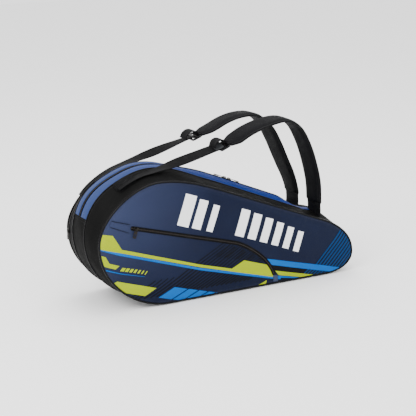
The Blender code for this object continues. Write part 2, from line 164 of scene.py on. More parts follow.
FINE = outline_points()
ALONG = np.concatenate([[0.0], np.cumsum(np.hypot(*np.diff(FINE[:, :2], axis=0).T))])
PERIMETER = ALONG[-1]

def outline(s):
    """Points, outward normals and crown heights at stations."""
    def at(t):
        t = np.mod(t, PERIMETER)
        return np.stack([np.interp(t, ALONG, FINE[:, k]) for k in range(3)], axis=-1)

    here = at(s)
    tangent = unit((at(s + 0.006) - at(s - 0.006))[..., :2])
    return here[..., :2], np.stack([tangent[..., 1], -tangent[..., 0]], axis=-1), here[..., 2]


def station_near(x, z):
    s = np.linspace(0.0, PERIMETER, 2000)
    point, _, _ = outline(s)
    return s[np.argmin(np.hypot(point[:, 0] - x, point[:, 1] - z))]


def height_at(point, crown, y):
    """How far the gusset stands out: its crown, the ridge under the main zip and the head's dome."""
    x, z = point[..., 0], point[..., 1]
    start, full, still, end = RIDGE_X
    along = ease((x - start) / (full - start)) * ease((end - x) / (end - still))
    ridge = RIDGE * along * np.maximum(0.0, 1.0 - (np.abs(y) / SEAM_Y) ** 1.3)
    reach = np.hypot(x - DOME_AT[0], z - DOME_AT[1]) / DOME_REACH
    dome = DOME * np.exp(-reach ** 2) * np.maximum(0.0, 1.0 - (y / DOME_HALF_WIDTH) ** 2)
    return crown * (1.0 - np.minimum(np.abs(y) / EDGE_Y, 1.0) ** CROWN_POWER) + (z > TOP_Z) * (ridge + dome)


def surface(s, y, lift=0.0):
    """Points on the gusset's outer face and its normals there, both in 3-D."""
    s, y = np.broadcast_arrays(np.asarray(s, float), np.asarray(y, float))
    point, normal, crown = outline(s)
    flat = point + normal * (height_at(point, crown, y) + lift)[..., None]
    slope = (height_at(point, crown, y + 0.001) - height_at(point, crown, y - 0.001)) / 0.002
    out = np.stack([normal[..., 0], -slope, normal[..., 1]], axis=-1)
    return np.stack([flat[..., 0], y, flat[..., 1]], axis=-1), unit(out)


S_HANDLE = station_near(*HANDLE_TOP)
S_HEAD = station_near(*HEAD_LOW)
S_REAR_LOW = station_near(*REAR_ZIP_LOW)
S_LOW = ALONG[-1 - BEZIER_STEPS] + 0.012


def smooth_path(points, step):
    """A Catmull-Rom curve through given points, in evenly spaced points."""
    points = np.array(points, float)
    padded = np.concatenate([[2 * points[0] - points[1]], points, [2 * points[-1] - points[-2]]])
    fine = []
    for a, b, c, d in zip(padded, padded[1:], padded[2:], padded[3:]):
        for t in np.linspace(0.0, 1.0, 16, endpoint=False):
            fine.append(0.5 * (2 * b + (c - a) * t + (2 * a - 5 * b + 4 * c - d) * t * t
                               + (3 * b - a - 3 * c + d) * t ** 3))
    fine = np.array(fine + [points[-1]])
    along = lengths_along(fine)
    at = np.linspace(0.0, along[-1], max(3, round(along[-1] / step) + 1))
    return np.stack([np.interp(at, along, fine[:, k]) for k in range(fine.shape[1])], axis=1)


# Materials

def hue(code):
    """A linear colour from a hex code."""
    parts = [int(code[k:k + 2], 16) / 255.0 for k in (0, 2, 4)]
    return tuple(c / 12.92 if c <= 0.04045 else ((c + 0.055) / 1.055) ** 2.4 for c in parts)


class Finish:
    """A procedural material. Its cloth coordinates are metres along and across each piece."""

    def __init__(self, name):
        self.material = bpy.data.materials.new(name)
        self.material.use_nodes = True
        self.tree = self.material.node_tree
        self.shader = self.tree.nodes["Principled BSDF"]
        cloth = self.tree.nodes.new("ShaderNodeAttribute")
        cloth.attribute_name = "weave"
        self.place = cloth.outputs["Vector"]
        split = self.node("ShaderNodeSeparateXYZ", self.place)
        self.along, self.across, self.edge = split.outputs

    def node(self, kind, *values, **settings):
        made = self.tree.nodes.new(kind)
        for key, value in settings.items():
            setattr(made, key, value)
        for socket, value in zip(made.inputs, values):
            self.link(value, socket)
        return made

    def link(self, value, socket):
        if isinstance(value, bpy.types.NodeSocket):
            self.tree.links.new(value, socket)
        elif value is not None:
            socket.default_value = value

    def math(self, operation, *values):
        return self.node("ShaderNodeMath", *values, operation=operation).outputs[0]

    def blotches(self, scale, detail=3.0):
        made = self.node("ShaderNodeTexNoise")
        self.link(self.place, made.inputs["Vector"])
        made.inputs["Scale"].default_value = scale
        made.inputs["Detail"].default_value = detail
        return made.outputs[0]

    def between(self, value, low, high, to_low=0.0, to_high=1.0):
        made = self.node("ShaderNodeMapRange")
        for name, number in zip(("Value", "From Min", "From Max", "To Min", "To Max"),
                                (value, low, high, to_low, to_high)):
            self.link(number, made.inputs[name])
        return made.outputs[0]

    def blend(self, share, one, other):
        made = self.node("ShaderNodeMix", data_type="RGBA")
        self.link(share, made.inputs[0])
        for colour, socket in ((one, made.inputs[6]), (other, made.inputs[7])):
            self.link(colour if isinstance(colour, bpy.types.NodeSocket) else (*colour, 1.0), socket)
        return made.outputs[2]

    def set(self, name, value):
        self.link(value, self.shader.inputs[name])

    def relief(self, height, distance, strength=1.0):
        bump = self.node("ShaderNodeBump")
        self.link(height, bump.inputs["Height"])
        bump.inputs["Distance"].default_value = distance
        bump.inputs["Strength"].default_value = strength
        self.set("Normal", bump.outputs[0])

    def checks(self, pitch):
        """A plain weave's height, from -1 to 1."""
        turn = 2.0 * math.pi / pitch
        one = self.math("SINE", self.math("MULTIPLY", self.along, turn))
        two = self.math("SINE", self.math("MULTIPLY", self.across, turn))
        return self.math("MULTIPLY", one, two)


def fabric(name, colour, other, rough, pitch=0.0016, depth=0.0001, worn=0.25, sheen=0.0, gloss=0.12,
           painted_sheen=None):
    """A woven cloth that varies between two colours and is lighter where its edges rub.
    Its last argument paints a sheen into the colour: (its colour, where along it is strongest, where it has gone,
    and from where to where across it grows)."""
    made = Finish(name)
    colour, other = hue(colour), hue(other)
    patches = made.between(made.blotches(9.0), 0.3, 0.7)
    base = made.blend(patches, colour, other)
    # Painted sheen: a lighter, greyer tone blended in, strongest at one end along the cloth and fading out.
    if painted_sheen:
        sheen_colour, full, gone, low, high = painted_sheen
        share = made.between(made.along, full, gone, 0.85, 0.0)
        base = made.blend(made.math("MULTIPLY", share, made.between(made.across, low, high)), base,
                          hue(sheen_colour))
    weave = made.checks(pitch)
    dark = made.blend(0.45, base, (0.0, 0.0, 0.0))
    base = made.blend(made.between(weave, -1.0, 1.0, 0.35, 0.0), base, dark)
    rub = made.math("MULTIPLY", made.edge, made.between(made.blotches(60.0), 0.45, 0.7, 0.0, worn))
    light = tuple(min(1.0, 0.10 + 1.6 * c) for c in colour)
    made.set("Base Color", made.blend(rub, base, light))
    made.set("Roughness", made.between(made.blotches(24.0), 0.3, 0.7, rough - 0.06, rough + 0.06))
    made.set("Specular IOR Level", gloss)
    made.set("Sheen Weight", sheen)
    made.relief(weave, depth)
    return made.material


def plastic(name, colour, rough, metallic=0.0, grain=0.00003, gloss=0.3):
    """Moulded plastic, thread or metal with a fine grain."""
    made = Finish(name)
    colour = hue(colour)
    made.set("Specular IOR Level", gloss)
    shade = tuple(0.75 * c for c in colour)
    made.set("Base Color", made.blend(made.between(made.blotches(80.0), 0.35, 0.65), colour, shade))
    made.set("Roughness", made.between(made.blotches(140.0), 0.3, 0.7, rough - 0.07, rough + 0.07))
    made.set("Metallic", metallic)
    made.relief(made.blotches(900.0, 1.0), grain)
    return made.material


def tape(name, colour, rough, pitch):
    """Ribbed narrow ware: webbing, zip tape and binding."""
    made = Finish(name)
    colour = hue(colour)
    ribs = made.math("SINE", made.math("MULTIPLY", made.along, 2.0 * math.pi / pitch))
    rows = made.math("SINE", made.math("MULTIPLY", made.across, math.pi / pitch))
    height = made.math("ADD", ribs, made.math("MULTIPLY", rows, 0.6))
    dark = tuple(0.5 * c for c in colour)
    base = made.blend(made.between(height, -1.4, 1.4), dark, colour)
    worn = tuple(0.05 + 1.5 * c for c in colour)
    made.set("Base Color", made.blend(made.between(made.blotches(50.0), 0.5, 0.8, 0.0, 0.12), base, worn))
    made.set("Roughness", rough)
    made.set("Specular IOR Level", 0.05)
    made.relief(height, 0.00022)
    return made.material


def print_ink(name, colour, other, gloss=0.06):
    """A flat ink on the printed panel, which doesn't wear at its edges."""
    return fabric(name, colour, other, 0.50, gloss=gloss, worn=0.0)


# The printed panel's cloth has a painted sheen: greyer and lighter towards the head end and the top.
NAVY = fabric("navy print base", "0a1126", "0d152c", 0.45, gloss=0.07,
              painted_sheen=("333b58", -0.40, -0.06, 0.02, 0.26))
PLAIN_NAVY = fabric("plain navy", "0c1429", "0f182f", 0.48, gloss=0.08)
LIME = print_ink("lime print", "98a800", "91a000", gloss=0.03)
SKY = print_ink("blue print", "00519c", "005ba6")
DEEP = print_ink("deep blue print", "002d58", "003262")
# Dark print. The same colour also paints the shadow lines along the zip start patch's edges.
DARK_PRINT_AND_SHADOW = print_ink("dark print and painted shadow", "08080b", "0b0b0e")
HATCH = print_ink("hatching", "07090f", "090b12")
WHITE = print_ink("white print", "f6f7f9", "eef0f3")
# The blue strips have a painted sheen: greyer and lighter towards the head end.
BLUE = fabric("blue fabric", "062568", "0a2d78", 0.55, gloss=0.07, sheen=0.02,
              painted_sheen=("2f3d61", S_HEAD - 0.10, S_HEAD - 0.44, -1.0, -0.9))
BLACK = fabric("black fabric", "0d0d0d", "111111", 0.66, gloss=0.028)
STRAP = fabric("strap fabric", "08080b", "0b0b0e", 0.65, pitch=0.0022, depth=0.0002, gloss=0.05)
LINING = fabric("lining", "50545c", "5a5e66", 0.70, worn=0.0)
WEBBING = tape("webbing", "09090b", 0.62, 0.0024)
TAPE = tape("zip tape", "0a0a0b", 0.60, 0.0012)
BINDING = tape("binding", "121214", 0.50, 0.0018)
PIPING = plastic("piping", "08080a", 0.18, gloss=0.11)
COIL = plastic("zip coil", "241f1c", 0.40, gloss=0.18)
BUCKLE = plastic("black plastic", "0e0e10", 0.34, gloss=0.18)
# A light grey painted highlight for the near buckle's lip.
BUCKLE_HIGHLIGHT = plastic("grey painted highlight", "3a3c3e", 0.50, gloss=0.12)
METAL = plastic("slider metal", "262320", 0.34, metallic=0.9)
THREAD_DARK = plastic("black thread", "131315", 0.70)
THREAD_NAVY = plastic("navy thread", "141d38", 0.70)
THREAD_BLUE = plastic("blue thread", "1d4184", 0.70)


# Makers

class Skin:
    """The points, cloth coordinates, faces and finish numbers of a piece being made."""

    def __init__(self):
        self.points, self.weave, self.faces, self.marks = [], [], [], []

    def add(self, points, weave, faces, mark=0):
        first = len(self.points)
        self.points += [tuple(p) for p in points]
        self.weave += [tuple(w) for w in weave]
        self.faces += [tuple(first + k for k in face) for face in faces]
        self.marks += [mark] * len(faces)

    def made(self, name, *finishes, sharp=50.0):
        mesh = bpy.data.meshes.new(name)
        mesh.from_pydata(self.points, [], self.faces)
        weave = mesh.attributes.new("weave", "FLOAT_VECTOR", "POINT")
        weave.data.foreach_set("vector", np.array(self.weave, np.float32).ravel())
        for finish in finishes:
            mesh.materials.append(finish)
        mesh.polygons.foreach_set("material_index", self.marks)
        work = bmesh.new()
        work.from_mesh(mesh)
        bmesh.ops.recalc_face_normals(work, faces=work.faces)
        work.to_mesh(mesh)
        work.free()
        mesh.shade_smooth()
        mesh.set_sharp_from_angle(angle=math.radians(sharp))
        thing = bpy.data.objects.new(name, mesh)
        bpy.context.scene.collection.objects.link(thing)
        return thing


def quads(rows, columns, ring=False):
    """The faces of a grid of points numbered row by row. ring joins its last column to its first."""
    faces = []
    for i in range(rows - 1):
        for j in range(columns if ring else columns - 1):
            k = (j + 1) % columns
            faces.append((i * columns + j, (i + 1) * columns + j, (i + 1) * columns + k, i * columns + k))
    return faces


def shell(outer, inner, weave):
    """A closed skin from two grids of points: its outer face and edges are marked 0, its inner face 1."""
    rows, columns = outer.shape[:2]
    count = rows * columns
    rim = list(range(columns)) + [i * columns + columns - 1 for i in range(1, rows)]
    rim += [(rows - 1) * columns + j for j in range(columns - 2, -1, -1)]
    rim += [i * columns for i in range(rows - 2, 0, -1)]
    skin = Skin()
    both = np.concatenate([outer.reshape(-1, 3), inner.reshape(-1, 3)])
    cloth = np.concatenate([weave.reshape(-1, 3)] * 2)
    skin.add(both, cloth, quads(rows, columns), 0)
    edges = [(a, b, b + count, a + count) for a, b in zip(rim, rim[1:] + rim[:1])]
    skin.faces += edges + [tuple(count + k for k in face) for face in quads(rows, columns)]
    skin.marks += [0] * len(edges) + [1] * (len(skin.faces) - len(skin.marks) - len(edges))
    return skin


def oval(width, height, steps=20, power=2.0, rise=0.0):
    """A profile round a sweep's line: a superellipse, square for a high power."""
    turn = np.linspace(0.0, 2.0 * math.pi, steps, endpoint=False)
    c, s = np.cos(turn), np.sin(turn)
    return np.stack([width / 2 * np.sign(c) * np.abs(c) ** (2 / power),
                     height / 2 * np.sign(s) * np.abs(s) ** (2 / power) + rise], axis=1)


def sweep(skin, points, ups, profile, ring=False, taper=0.0, mark=0, widths=1.0):
    """A profile carried along points, its second axis along ups. taper rounds off its ends over that length,
    and widths scales it across at each point."""
    points, ups = np.asarray(points, float), np.asarray(ups, float)
    if ring:
        tangents = np.roll(points, -1, axis=0) - np.roll(points, 1, axis=0)
    else:
        tangents = np.gradient(points, axis=0)
    sides = unit(np.cross(unit(tangents), ups))
    along = lengths_along(points)
    size = np.ones(len(points))
    if taper:
        near = np.minimum(along, along[-1] - along) / taper
        size = np.sqrt(np.clip(1.0 - (1.0 - np.clip(near, 0.0, 1.0)) ** 2, 0.02, 1.0))
    spread = profile[None]
    if taper:
        spread = spread * np.stack([0.25 + 0.75 * size, size], axis=1)[:, None]
    spread = spread * np.stack([np.broadcast_to(widths, len(points)), np.ones(len(points))], axis=1)[:, None]
    rings = points[:, None] + sides[:, None] * spread[..., :1] + ups[:, None] * spread[..., 1:]
    around = lengths_along(profile)
    count = len(profile)
    lift = np.abs(profile[:, 0]) / max(np.abs(profile[:, 0]).max(), 1e-9)
    weave = np.stack(np.broadcast_arrays(along[:, None], around[None], ease((lift - 0.8) / 0.2)[None]), axis=-1)
    faces = quads(len(points), count, ring=True)
    last = (len(points) - 1) * count
    if ring:
        faces += [(last + j, j, (j + 1) % count, last + (j + 1) % count) for j in range(count)]
    else:
        faces += [tuple(range(count)), tuple(range(last + count - 1, last - 1, -1))]
    skin.add(rings.reshape(-1, 3), weave.reshape(-1, 3), faces, mark)


CAPSULE = np.array([(-0.5, 0, 0)] + [(x, 0.5 * math.cos(a), 0.5 * math.sin(a)) for x in (-0.3, 0.3)
                                     for a in (0.0, math.pi / 2, math.pi, 3 * math.pi / 2)] + [(0.5, 0, 0)])
CAPSULE_FACES = [(0, 1 + (k + 1) % 4, 1 + k) for k in range(4)] + [(9, 5 + k, 5 + (k + 1) % 4) for k in range(4)]
CAPSULE_FACES += [(1 + k, 1 + (k + 1) % 4, 5 + (k + 1) % 4, 5 + k) for k in range(4)]
BLOCK = np.array([(x * (0.5 if z < 0 else 0.36), y * (0.5 if z < 0 else 0.4), z * 0.5)
                  for z in (-1, 1) for x, y in ((-1, -1), (1, -1), (1, 1), (-1, 1))])
BLOCK_FACES = [(3, 2, 1, 0), (4, 5, 6, 7)] + [(k, (k + 1) % 4, 4 + (k + 1) % 4, 4 + k) for k in range(4)]


def row_of(skin, points, ups, pitch, size, shape=CAPSULE, faces=CAPSULE_FACES, turn=0.0, mark=0):
    """Small equal pieces along a line: stitches, or a zip's teeth. size is along, across and up."""
    points, ups = np.asarray(points, float), np.asarray(ups, float)
    along = lengths_along(points)
    count = max(1, int(along[-1] / pitch))
    at = (np.arange(count) + 0.5) * along[-1] / count
    tangents = unit(np.gradient(points, axis=0))
    here, ahead, up = (np.stack([np.interp(at, along, values[:, k]) for k in range(3)], axis=1)
                       for values in (points, tangents, ups))
    side = unit(np.cross(ahead, up))
    ahead = unit(ahead * math.cos(turn) + side * math.sin(turn))
    side = unit(np.cross(ahead, up))
    for middle, a, b, c, s in zip(here, ahead, side, unit(up), at):
        made = middle + shape[:, :1] * size[0] * a + shape[:, 1:2] * size[1] * b + shape[:, 2:] * size[2] * c
        skin.add(made, [(s, 0.0, 0.0)] * len(made), faces, mark)


def seam_line(s_from, s_to, y, lift=0.0, step=0.004):
    """Points and normals along the gusset at one distance from the middle plane."""
    s = np.linspace(s_from, s_to, max(3, round(abs(s_to - s_from) / step) + 1))
    return surface(s, y, lift)


def band(name, s_from, s_to, y_from, y_to, *finishes, relief=None, thick=WALL, lift=0.0, pucker=0.0003, sag=0.0008):
    """A strip of gusset between two seams, gathered a little at its stitched edges."""
    rows = max(4, round((s_to - s_from) / BAND_CELL) + 1)
    columns = max(3, round(abs(y_to - y_from) / BAND_CELL) + 2)
    s, y = np.meshgrid(np.linspace(s_from, s_to, rows), np.linspace(y_from, y_to, columns), indexing="ij")
    near = np.minimum(y - min(y_from, y_to), max(y_from, y_to) - y)
    end = np.minimum(s - s_from, s_to - s)
    seam = np.exp(-near / 0.0035)
    free = ease(near / 0.012) * ease(end / 0.012)
    height = lift - 0.0005 * seam + pucker * seam * np.sin(2 * math.pi * s / 0.0085 + 3.0 * ripple(s * 30, y * 0))
    height += sag * free * (ripple(s * 14, y * 26, 2.0) + 0.5 * ripple(s * 40, y * 30, 5.0))
    if relief:
        height = height + relief(s, y)
    outer, _ = surface(s, y, height)
    inner, _ = surface(s, y, lift - thick)
    weave = np.stack([s, y, np.exp(-near / 0.0025)], axis=-1)
    return shell(outer, inner, weave).made(name, *finishes)


def put(piece, body, stands_for=()):
    """A piece rides on a body given by its name. Given (one, other, start, end) instead, its transform is only baked
    into its mesh.
    """
    if isinstance(body, str):
        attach(piece, body)
    else:
        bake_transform(piece)
    if stands_for:
        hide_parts(*stands_for)
    return piece


FRONT_HANDLE_BEND = ("core", "front_side", (0.3, 0.0, 0.1), (0.3, -0.030, 0.1))
FRONT_HEAD_BEND = ("core", "front_side", (-0.38, 0.030, 0.1), (-0.38, -0.030, 0.1))
BACK_BEND = ("core", "back_side", (0.3, 0.0765, 0.1), (0.3, 0.0965, 0.1))


# The side panels

def panel_loop(inset, step):
    s = np.linspace(0.0, PERIMETER, round(PERIMETER / step), endpoint=False)
    point, normal, _ = outline(s)
    return point - normal * inset


def contains(loop, points):
    """Which points lie inside a loop."""
    start, end = loop, np.roll(loop, -1, axis=0)
    crosses = (start[None, :, 1] > points[:, None, 1]) != (end[None, :, 1] > points[:, None, 1])
    rise = end[:, 1] - start[:, 1]
    rise = np.where(np.abs(rise) < 1e-12, 1e-12, rise)
    at = start[None, :, 0] + (points[:, None, 1] - start[None, :, 1]) / rise * (end - start)[None, :, 0]
    return (crosses & (points[:, None, 0] < at)).sum(axis=1) % 2 == 1


def distance_to(loop, points):
    """Each point's distance from a loop."""
    edge = np.roll(loop, -1, axis=0) - loop
    gap = points[:, None] - loop[None]
    share = np.clip((gap * edge).sum(-1) / np.maximum((edge * edge).sum(-1), 1e-12), 0.0, 1.0)
    return np.linalg.norm(gap - share[..., None] * edge, axis=-1).min(axis=1)


def inside_points(loop, cell, margin):
    """A staggered lattice of points inside a loop, clear of its edge."""
    low, high = loop.min(axis=0), loop.max(axis=0)
    found = []
    for i, z in enumerate(np.arange(low[1] + margin, high[1] - margin / 2, cell * 0.87)):
        x = np.arange(low[0] + margin, high[0] - margin / 2, cell) + (i % 2) * cell / 2
        found += [(a, z) for a in x]
    found = np.array(found).reshape(-1, 2)
    return found[contains(loop, found) & (distance_to(loop, found) > margin)]


def panel_depth(edge_distance):
    """How far a side panel swells past its sewn edge before it is simulated."""
    return 0.0045 * (1.0 - np.exp(-edge_distance / 0.016))


PANEL_CLOTH = {"vertex_group_mass": "sewn", "quality": 6, "mass": 0.4, "tension_stiffness": 60,
               "compression_stiffness": 60, "shear_stiffness": 20, "bending_stiffness": 6,
               "shrink_min": -0.0035, "shrink_max": -0.0035}


def blown(points, faces, pinned, side):
    """The cloth of a side panel, a little larger than its outline, pushed outwards from its pinned seam."""
    scene = bpy.context.scene
    mesh = bpy.data.meshes.new("cut panel")
    mesh.from_pydata([tuple(p) for p in points], [], faces)
    cut = bpy.data.objects.new("cut panel", mesh)
    scene.collection.objects.link(cut)
    group = cut.vertex_groups.new(name="sewn")
    group.add([int(k) for k in pinned], 1.0, "REPLACE")
    cloth = cut.modifiers.new("cloth", "CLOTH")
    for setting, value in PANEL_CLOTH.items():
        setattr(cloth.settings, setting, value)
    cloth.collision_settings.use_collision = False
    kept = scene.gravity.copy()
    scene.gravity = (0.0, side * 9.81, 0.0)
    for step in range(1, 26):
        scene.frame_set(step)
    drawn = cut.evaluated_get(bpy.context.evaluated_depsgraph_get()).to_mesh()
    moved = np.array([tuple(v.co) for v in drawn.vertices])
    scene.gravity = kept
    bpy.data.objects.remove(cut)
    bpy.data.meshes.remove(mesh)
    scene.frame_set(1)
    return moved


class Panel:
    """A side panel's outer face, ready to take print, zips and stitches."""

    def __init__(self, side):
        self.side = side
        loop = panel_loop(0.0012, PANEL_CELL)
        flat = np.concatenate([loop, inside_points(loop, PANEL_CELL, PANEL_CELL * 0.55)])
        edge = len(loop)
        ring = list(range(edge))
        found = delaunay_2d_cdt([Vector(p) for p in flat], [], [ring], 1, 1e-6)
        flat = np.array([tuple(v) for v in found[0]])
        faces = [tuple(face) for face in found[2]]
        distance = distance_to(loop, flat)
        depth = panel_depth(distance)
        points = np.stack([flat[:, 0], side * (EDGE_Y + depth - 0.0005), flat[:, 1]], axis=1)
        moved = blown(points, faces, np.nonzero(distance < 1e-5)[0], side)
        limit = FRONT_SWELL if side < 0 else BACK_SWELL
        swell = np.clip(side * moved[:, 1] - EDGE_Y, -0.001, 0.011)
        swell = np.where(swell > 0.0, limit * (1.0 - np.exp(-swell / limit)), swell)
        points[:, 1] = side * (EDGE_Y + swell)
        work = bmesh.new()
        verts = [work.verts.new(p) for p in points]
        for face in faces:
            work.faces.new([verts[k] for k in face])
        bmesh.ops.subdivide_edges(work, edges=work.edges[:], cuts=1, use_grid_fill=True)
        bmesh.ops.triangulate(work, faces=[f for f in work.faces if len(f.verts) > 3])
        self.points = np.array([tuple(v.co) for v in work.verts])
        work.verts.index_update()
        self.faces = [tuple(v.index for v in f.verts) for f in work.faces]
        self.rim = [(e.verts[0].index, e.verts[1].index) for e in work.edges if len(e.link_faces) == 1]
        work.free()
        self.distance = distance_to(loop, self.points[:, [0, 2]])
        x, z = self.points[:, 0], self.points[:, 2]
        gathered = np.exp(-self.distance / 0.012) * ease(self.distance / 0.003)
        turn = np.arctan2(z - 0.15, x)
        creases = ripple(turn * 38.0, self.distance * 8.0, 1.0) * 0.0011 * gathered
        rolls = ripple(x * 7.0 + z * 3.0, z * 16.0 - x * 4.0, 4.0) * 0.0010 * ease(self.distance / 0.04)
        self.points[:, 1] += side * (creases + rolls)
        self.tree = BVHTree.FromPolygons([tuple(p) for p in self.points], self.faces)

    def made(self, name, *finishes):
        count = len(self.points)
        inner = self.points - np.array([0.0, self.side * WALL, 0.0])
        weave = np.stack([self.points[:, 0], self.points[:, 2], np.exp(-self.distance / 0.004)], axis=1)
        skin = Skin()
        skin.add(np.concatenate([self.points, inner]), np.concatenate([weave, weave]), self.faces, 0)
        edges = [(a, b, b + count, a + count) for a, b in self.rim]
        skin.faces += edges + [tuple(count + k for k in face) for face in self.faces]
        skin.marks += [0] * len(edges) + [1] * len(self.faces)
        return skin.made(name, *finishes)

    def drop(self, flat, lift=0.0):
        """Points and normals on the panel under points in X and Z."""
        points, ups = [], []
        for x, z in flat:
            hit, normal, _, _ = self.tree.ray_cast(Vector((x, self.side * 0.2, z)), Vector((0, -self.side, 0)))
            if hit is None:
                hit, normal, _, _ = self.tree.find_nearest(Vector((x, self.side * EDGE_Y, z)))
            if normal.y * self.side < 0:
                normal = -normal
            points.append(hit + normal * lift)
            ups.append(normal)
        return np.array(points), np.array(ups)

    def patch(self, skin, loop, lift, thick=0.0002, cell=PRINT_CELL, mark=0):
        """A flat shape laid on the panel and cut off at its seam. Closed, thick from its face to its back."""
        loop = refined(np.array(loop, float), cell)
        border = panel_loop(0.0022, PRINT_CELL)
        inner = inside_points(loop, cell, cell * 0.45)
        flat = np.concatenate([loop, border, inner])
        ends = [(k, k + 1) for k in range(len(loop) - 1)] + [(len(loop) - 1, 0)]
        ends += [(len(loop) + k, len(loop) + (k + 1) % len(border)) for k in range(len(border))]
        verts, _, faces, _, _, _ = delaunay_2d_cdt([Vector(p) for p in flat], ends, [], 0, 1e-6)
        middles = np.array([np.mean([tuple(verts[k]) for k in face], axis=0) for face in faces])
        inside = contains(loop, middles) & contains(border, middles)
        kept = [tuple(face) for face, keep in zip(faces, inside) if keep]
        if not kept:
            return
        used = sorted({k for face in kept for k in face})
        number = {k: i for i, k in enumerate(used)}
        kept = [tuple(number[k] for k in face) for face in kept]
        flat = np.array([tuple(verts[k]) for k in used])
        top, ups = self.drop(flat, lift)
        count = len(flat)
        sides = {}
        for face in kept:
            for a, b in zip(face, face[1:] + face[:1]):
                sides[(min(a, b), max(a, b))] = sides.get((min(a, b), max(a, b)), 0) + 1
        rim = [pair for pair, uses in sides.items() if uses == 1]
        faces = kept + [tuple(count + k for k in face) for face in kept]
        faces += [(a, b, b + count, a + count) for a, b in rim]
        weave = np.stack([flat[:, 0], flat[:, 1], np.zeros(count)], axis=1)
        skin.add(np.concatenate([top, top - ups * thick]), np.concatenate([weave, weave]), faces, mark)


def refined(loop, cell):
    """A loop with points no further apart than a cell."""
    found = []
    for a, b in zip(loop, np.roll(loop, -1, axis=0)):
        count = max(1, math.ceil(np.linalg.norm(b - a) / cell))
        found += [a + (b - a) * k / count for k in range(count)]
    return np.array(found)


def bar(x, z, width, height, lean, fall):
    """A slanted bar: its lower left corner, its size, how far it leans right and how its foot falls."""
    return [(x, z), (x + width, z - fall * width), (x + width + lean * height, z - fall * width + height),
            (x + lean * height, z + height)]


def stroke(path, width, end_width=None):
    """A thin stripe along a path in X and Z."""
    path = np.array(path, float)
    across = leftward(path)
    half = np.linspace(width, width if end_width is None else end_width, len(path))[:, None] / 2
    return np.concatenate([path + across * half, (path - across * half)[::-1]])


front = Panel(-1)
back = Panel(1)
put(front.made("front_panel_skin", NAVY, LINING), "front_side", ["front_panel"])
put(back.made("back_panel_skin", PLAIN_NAVY, LINING), "back_side", ["back_panel"])


# The print

def print_shapes():
    """The print as closed shapes in X and Z, by the ink that they take."""
    lime = [
        [(-0.400, 0.222), (-0.349, 0.211), (-0.325, 0.171), (-0.101, 0.096), (-0.006, 0.069), (0.032, 0.0865),
         (0.105, 0.062), (0.128, 0.0225), (-0.101, 0.0885), (-0.330, 0.163), (-0.400, 0.184)],
        [(-0.385, 0.164), (-0.369, 0.158), (-0.359, 0.139), (-0.332, 0.129), (-0.343, 0.1215), (-0.371, 0.132),
         (-0.385, 0.142)],
        [(-0.352, 0.081), (-0.338, 0.088), (-0.229, 0.053), (-0.261, 0.036), (-0.335, 0.059)],
        [(0.064, 0.000), (0.105, 0.0175), (0.105, 0.010), (0.096, 0.000)],
        [(0.130, 0.041), (0.253, 0.0085), (0.286, 0.000), (0.247, 0.000), (0.142, 0.026)],
    ]
    for k in range(7):  # a row of dashes that thins out
        width = 0.0098 - 0.0012 * k
        lime.append(bar(-0.331 + 0.0128 * k - 0.00025 * k * k, 0.1152 - 0.0033 * k, width, 0.0080, 0.85, 0.25))
    sky = [
        stroke([(-0.400, 0.1865), (-0.330, 0.1590), (-0.101, 0.0835), (0.100, 0.0280), (0.150, 0.0150)], 0.0062),
        [(0.098, 0.0805), (0.278, 0.0330), (0.375, 0.0060), (0.310, 0.0080), (0.120, 0.0590)],
        stroke([(-0.385, 0.128), (-0.330, 0.108), (-0.262, 0.089)], 0.0034, 0.0006),
        stroke([(0.140, 0.0215), (0.180, 0.0130), (0.232, 0.0010)], 0.0060, 0.0020),
    ]
    foot = -0.222
    for width in (0.0375, 0.0270, 0.0240, 0.0190, 0.0150, 0.0120, 0.0090):  # blocks that narrow to the right
        sky.append(bar(foot, 0.0250 - 0.30 * (foot + 0.222), width, 0.0215, 2.15, 0.31))
        foot += width + 0.0048
    deep = []
    for k in range(12):  # rays at the handle tip, above the blue band
        start = 0.263 + 0.0105 * k
        deep.append(stroke([(start, 0.036 - 0.27 * (start - 0.263)), (start + 0.030, 0.068 - 0.27 * (start - 0.263)),
                            (start + 0.100, 0.142 - 0.27 * (start - 0.263))], 0.0048, 0.0056))
    for k in range(9):  # and below it
        start = 0.226 + 0.0105 * k
        deep.append(stroke([(start, 0.016 - 0.21 * (start - 0.226)), (start + 0.018, 0.030 - 0.21 * (start - 0.226))],
                           0.0040))
    ink = [
        [(0.118, 0.0585), (0.310, 0.0085), (0.375, 0.004), (0.300, 0.000), (0.286, 0.001), (0.130, 0.0415)],
        [(0.257, 0.036), (0.365, 0.150), (0.400, 0.110), (0.400, 0.000), (0.352, 0.012)],
        [(0.145, 0.0180), (0.225, 0.000), (0.140, 0.000)],
    ]
    hatch = []
    for k in range(24):  # hatching that rises to the right, closer together towards the handle
        foot = -0.318 + 0.0185 * k - 0.00012 * k * k
        path = [(foot, 0.028), (foot + 0.048, 0.052), (foot + 0.098, 0.080)]
        path += [(foot + 0.128, 0.098), (foot + 0.168, 0.1195), (foot + 0.226, 0.150)]
        path = smooth_path(path, 0.012)
        path = [p for p in path if under_zip(p)] if k > 3 else path[:9]
        if len(path) > 2:
            hatch.append(stroke(path, 0.0044, 0.0026))
    for k in range(20):  # short, close rays under the zip
        foot = -0.022 + 0.0078 * k
        path = smooth_path([(foot - 0.030, 0.110 - 0.045 * k / 20), (foot, 0.128 - 0.045 * k / 20),
                            (foot + 0.030, 0.148 - 0.040 * k / 20)], 0.008)
        path = [p for p in path if under_zip(p) and p[1] > 0.094 - 0.30 * (p[0] + 0.095)]
        if len(path) > 2:
            hatch.append(stroke(path, 0.0020))
    return {"lime": lime, "sky": sky, "deep": deep, "ink": ink, "hatch": hatch}


ZIP_LINE = smooth_path(POCKET_ZIP, 0.004)


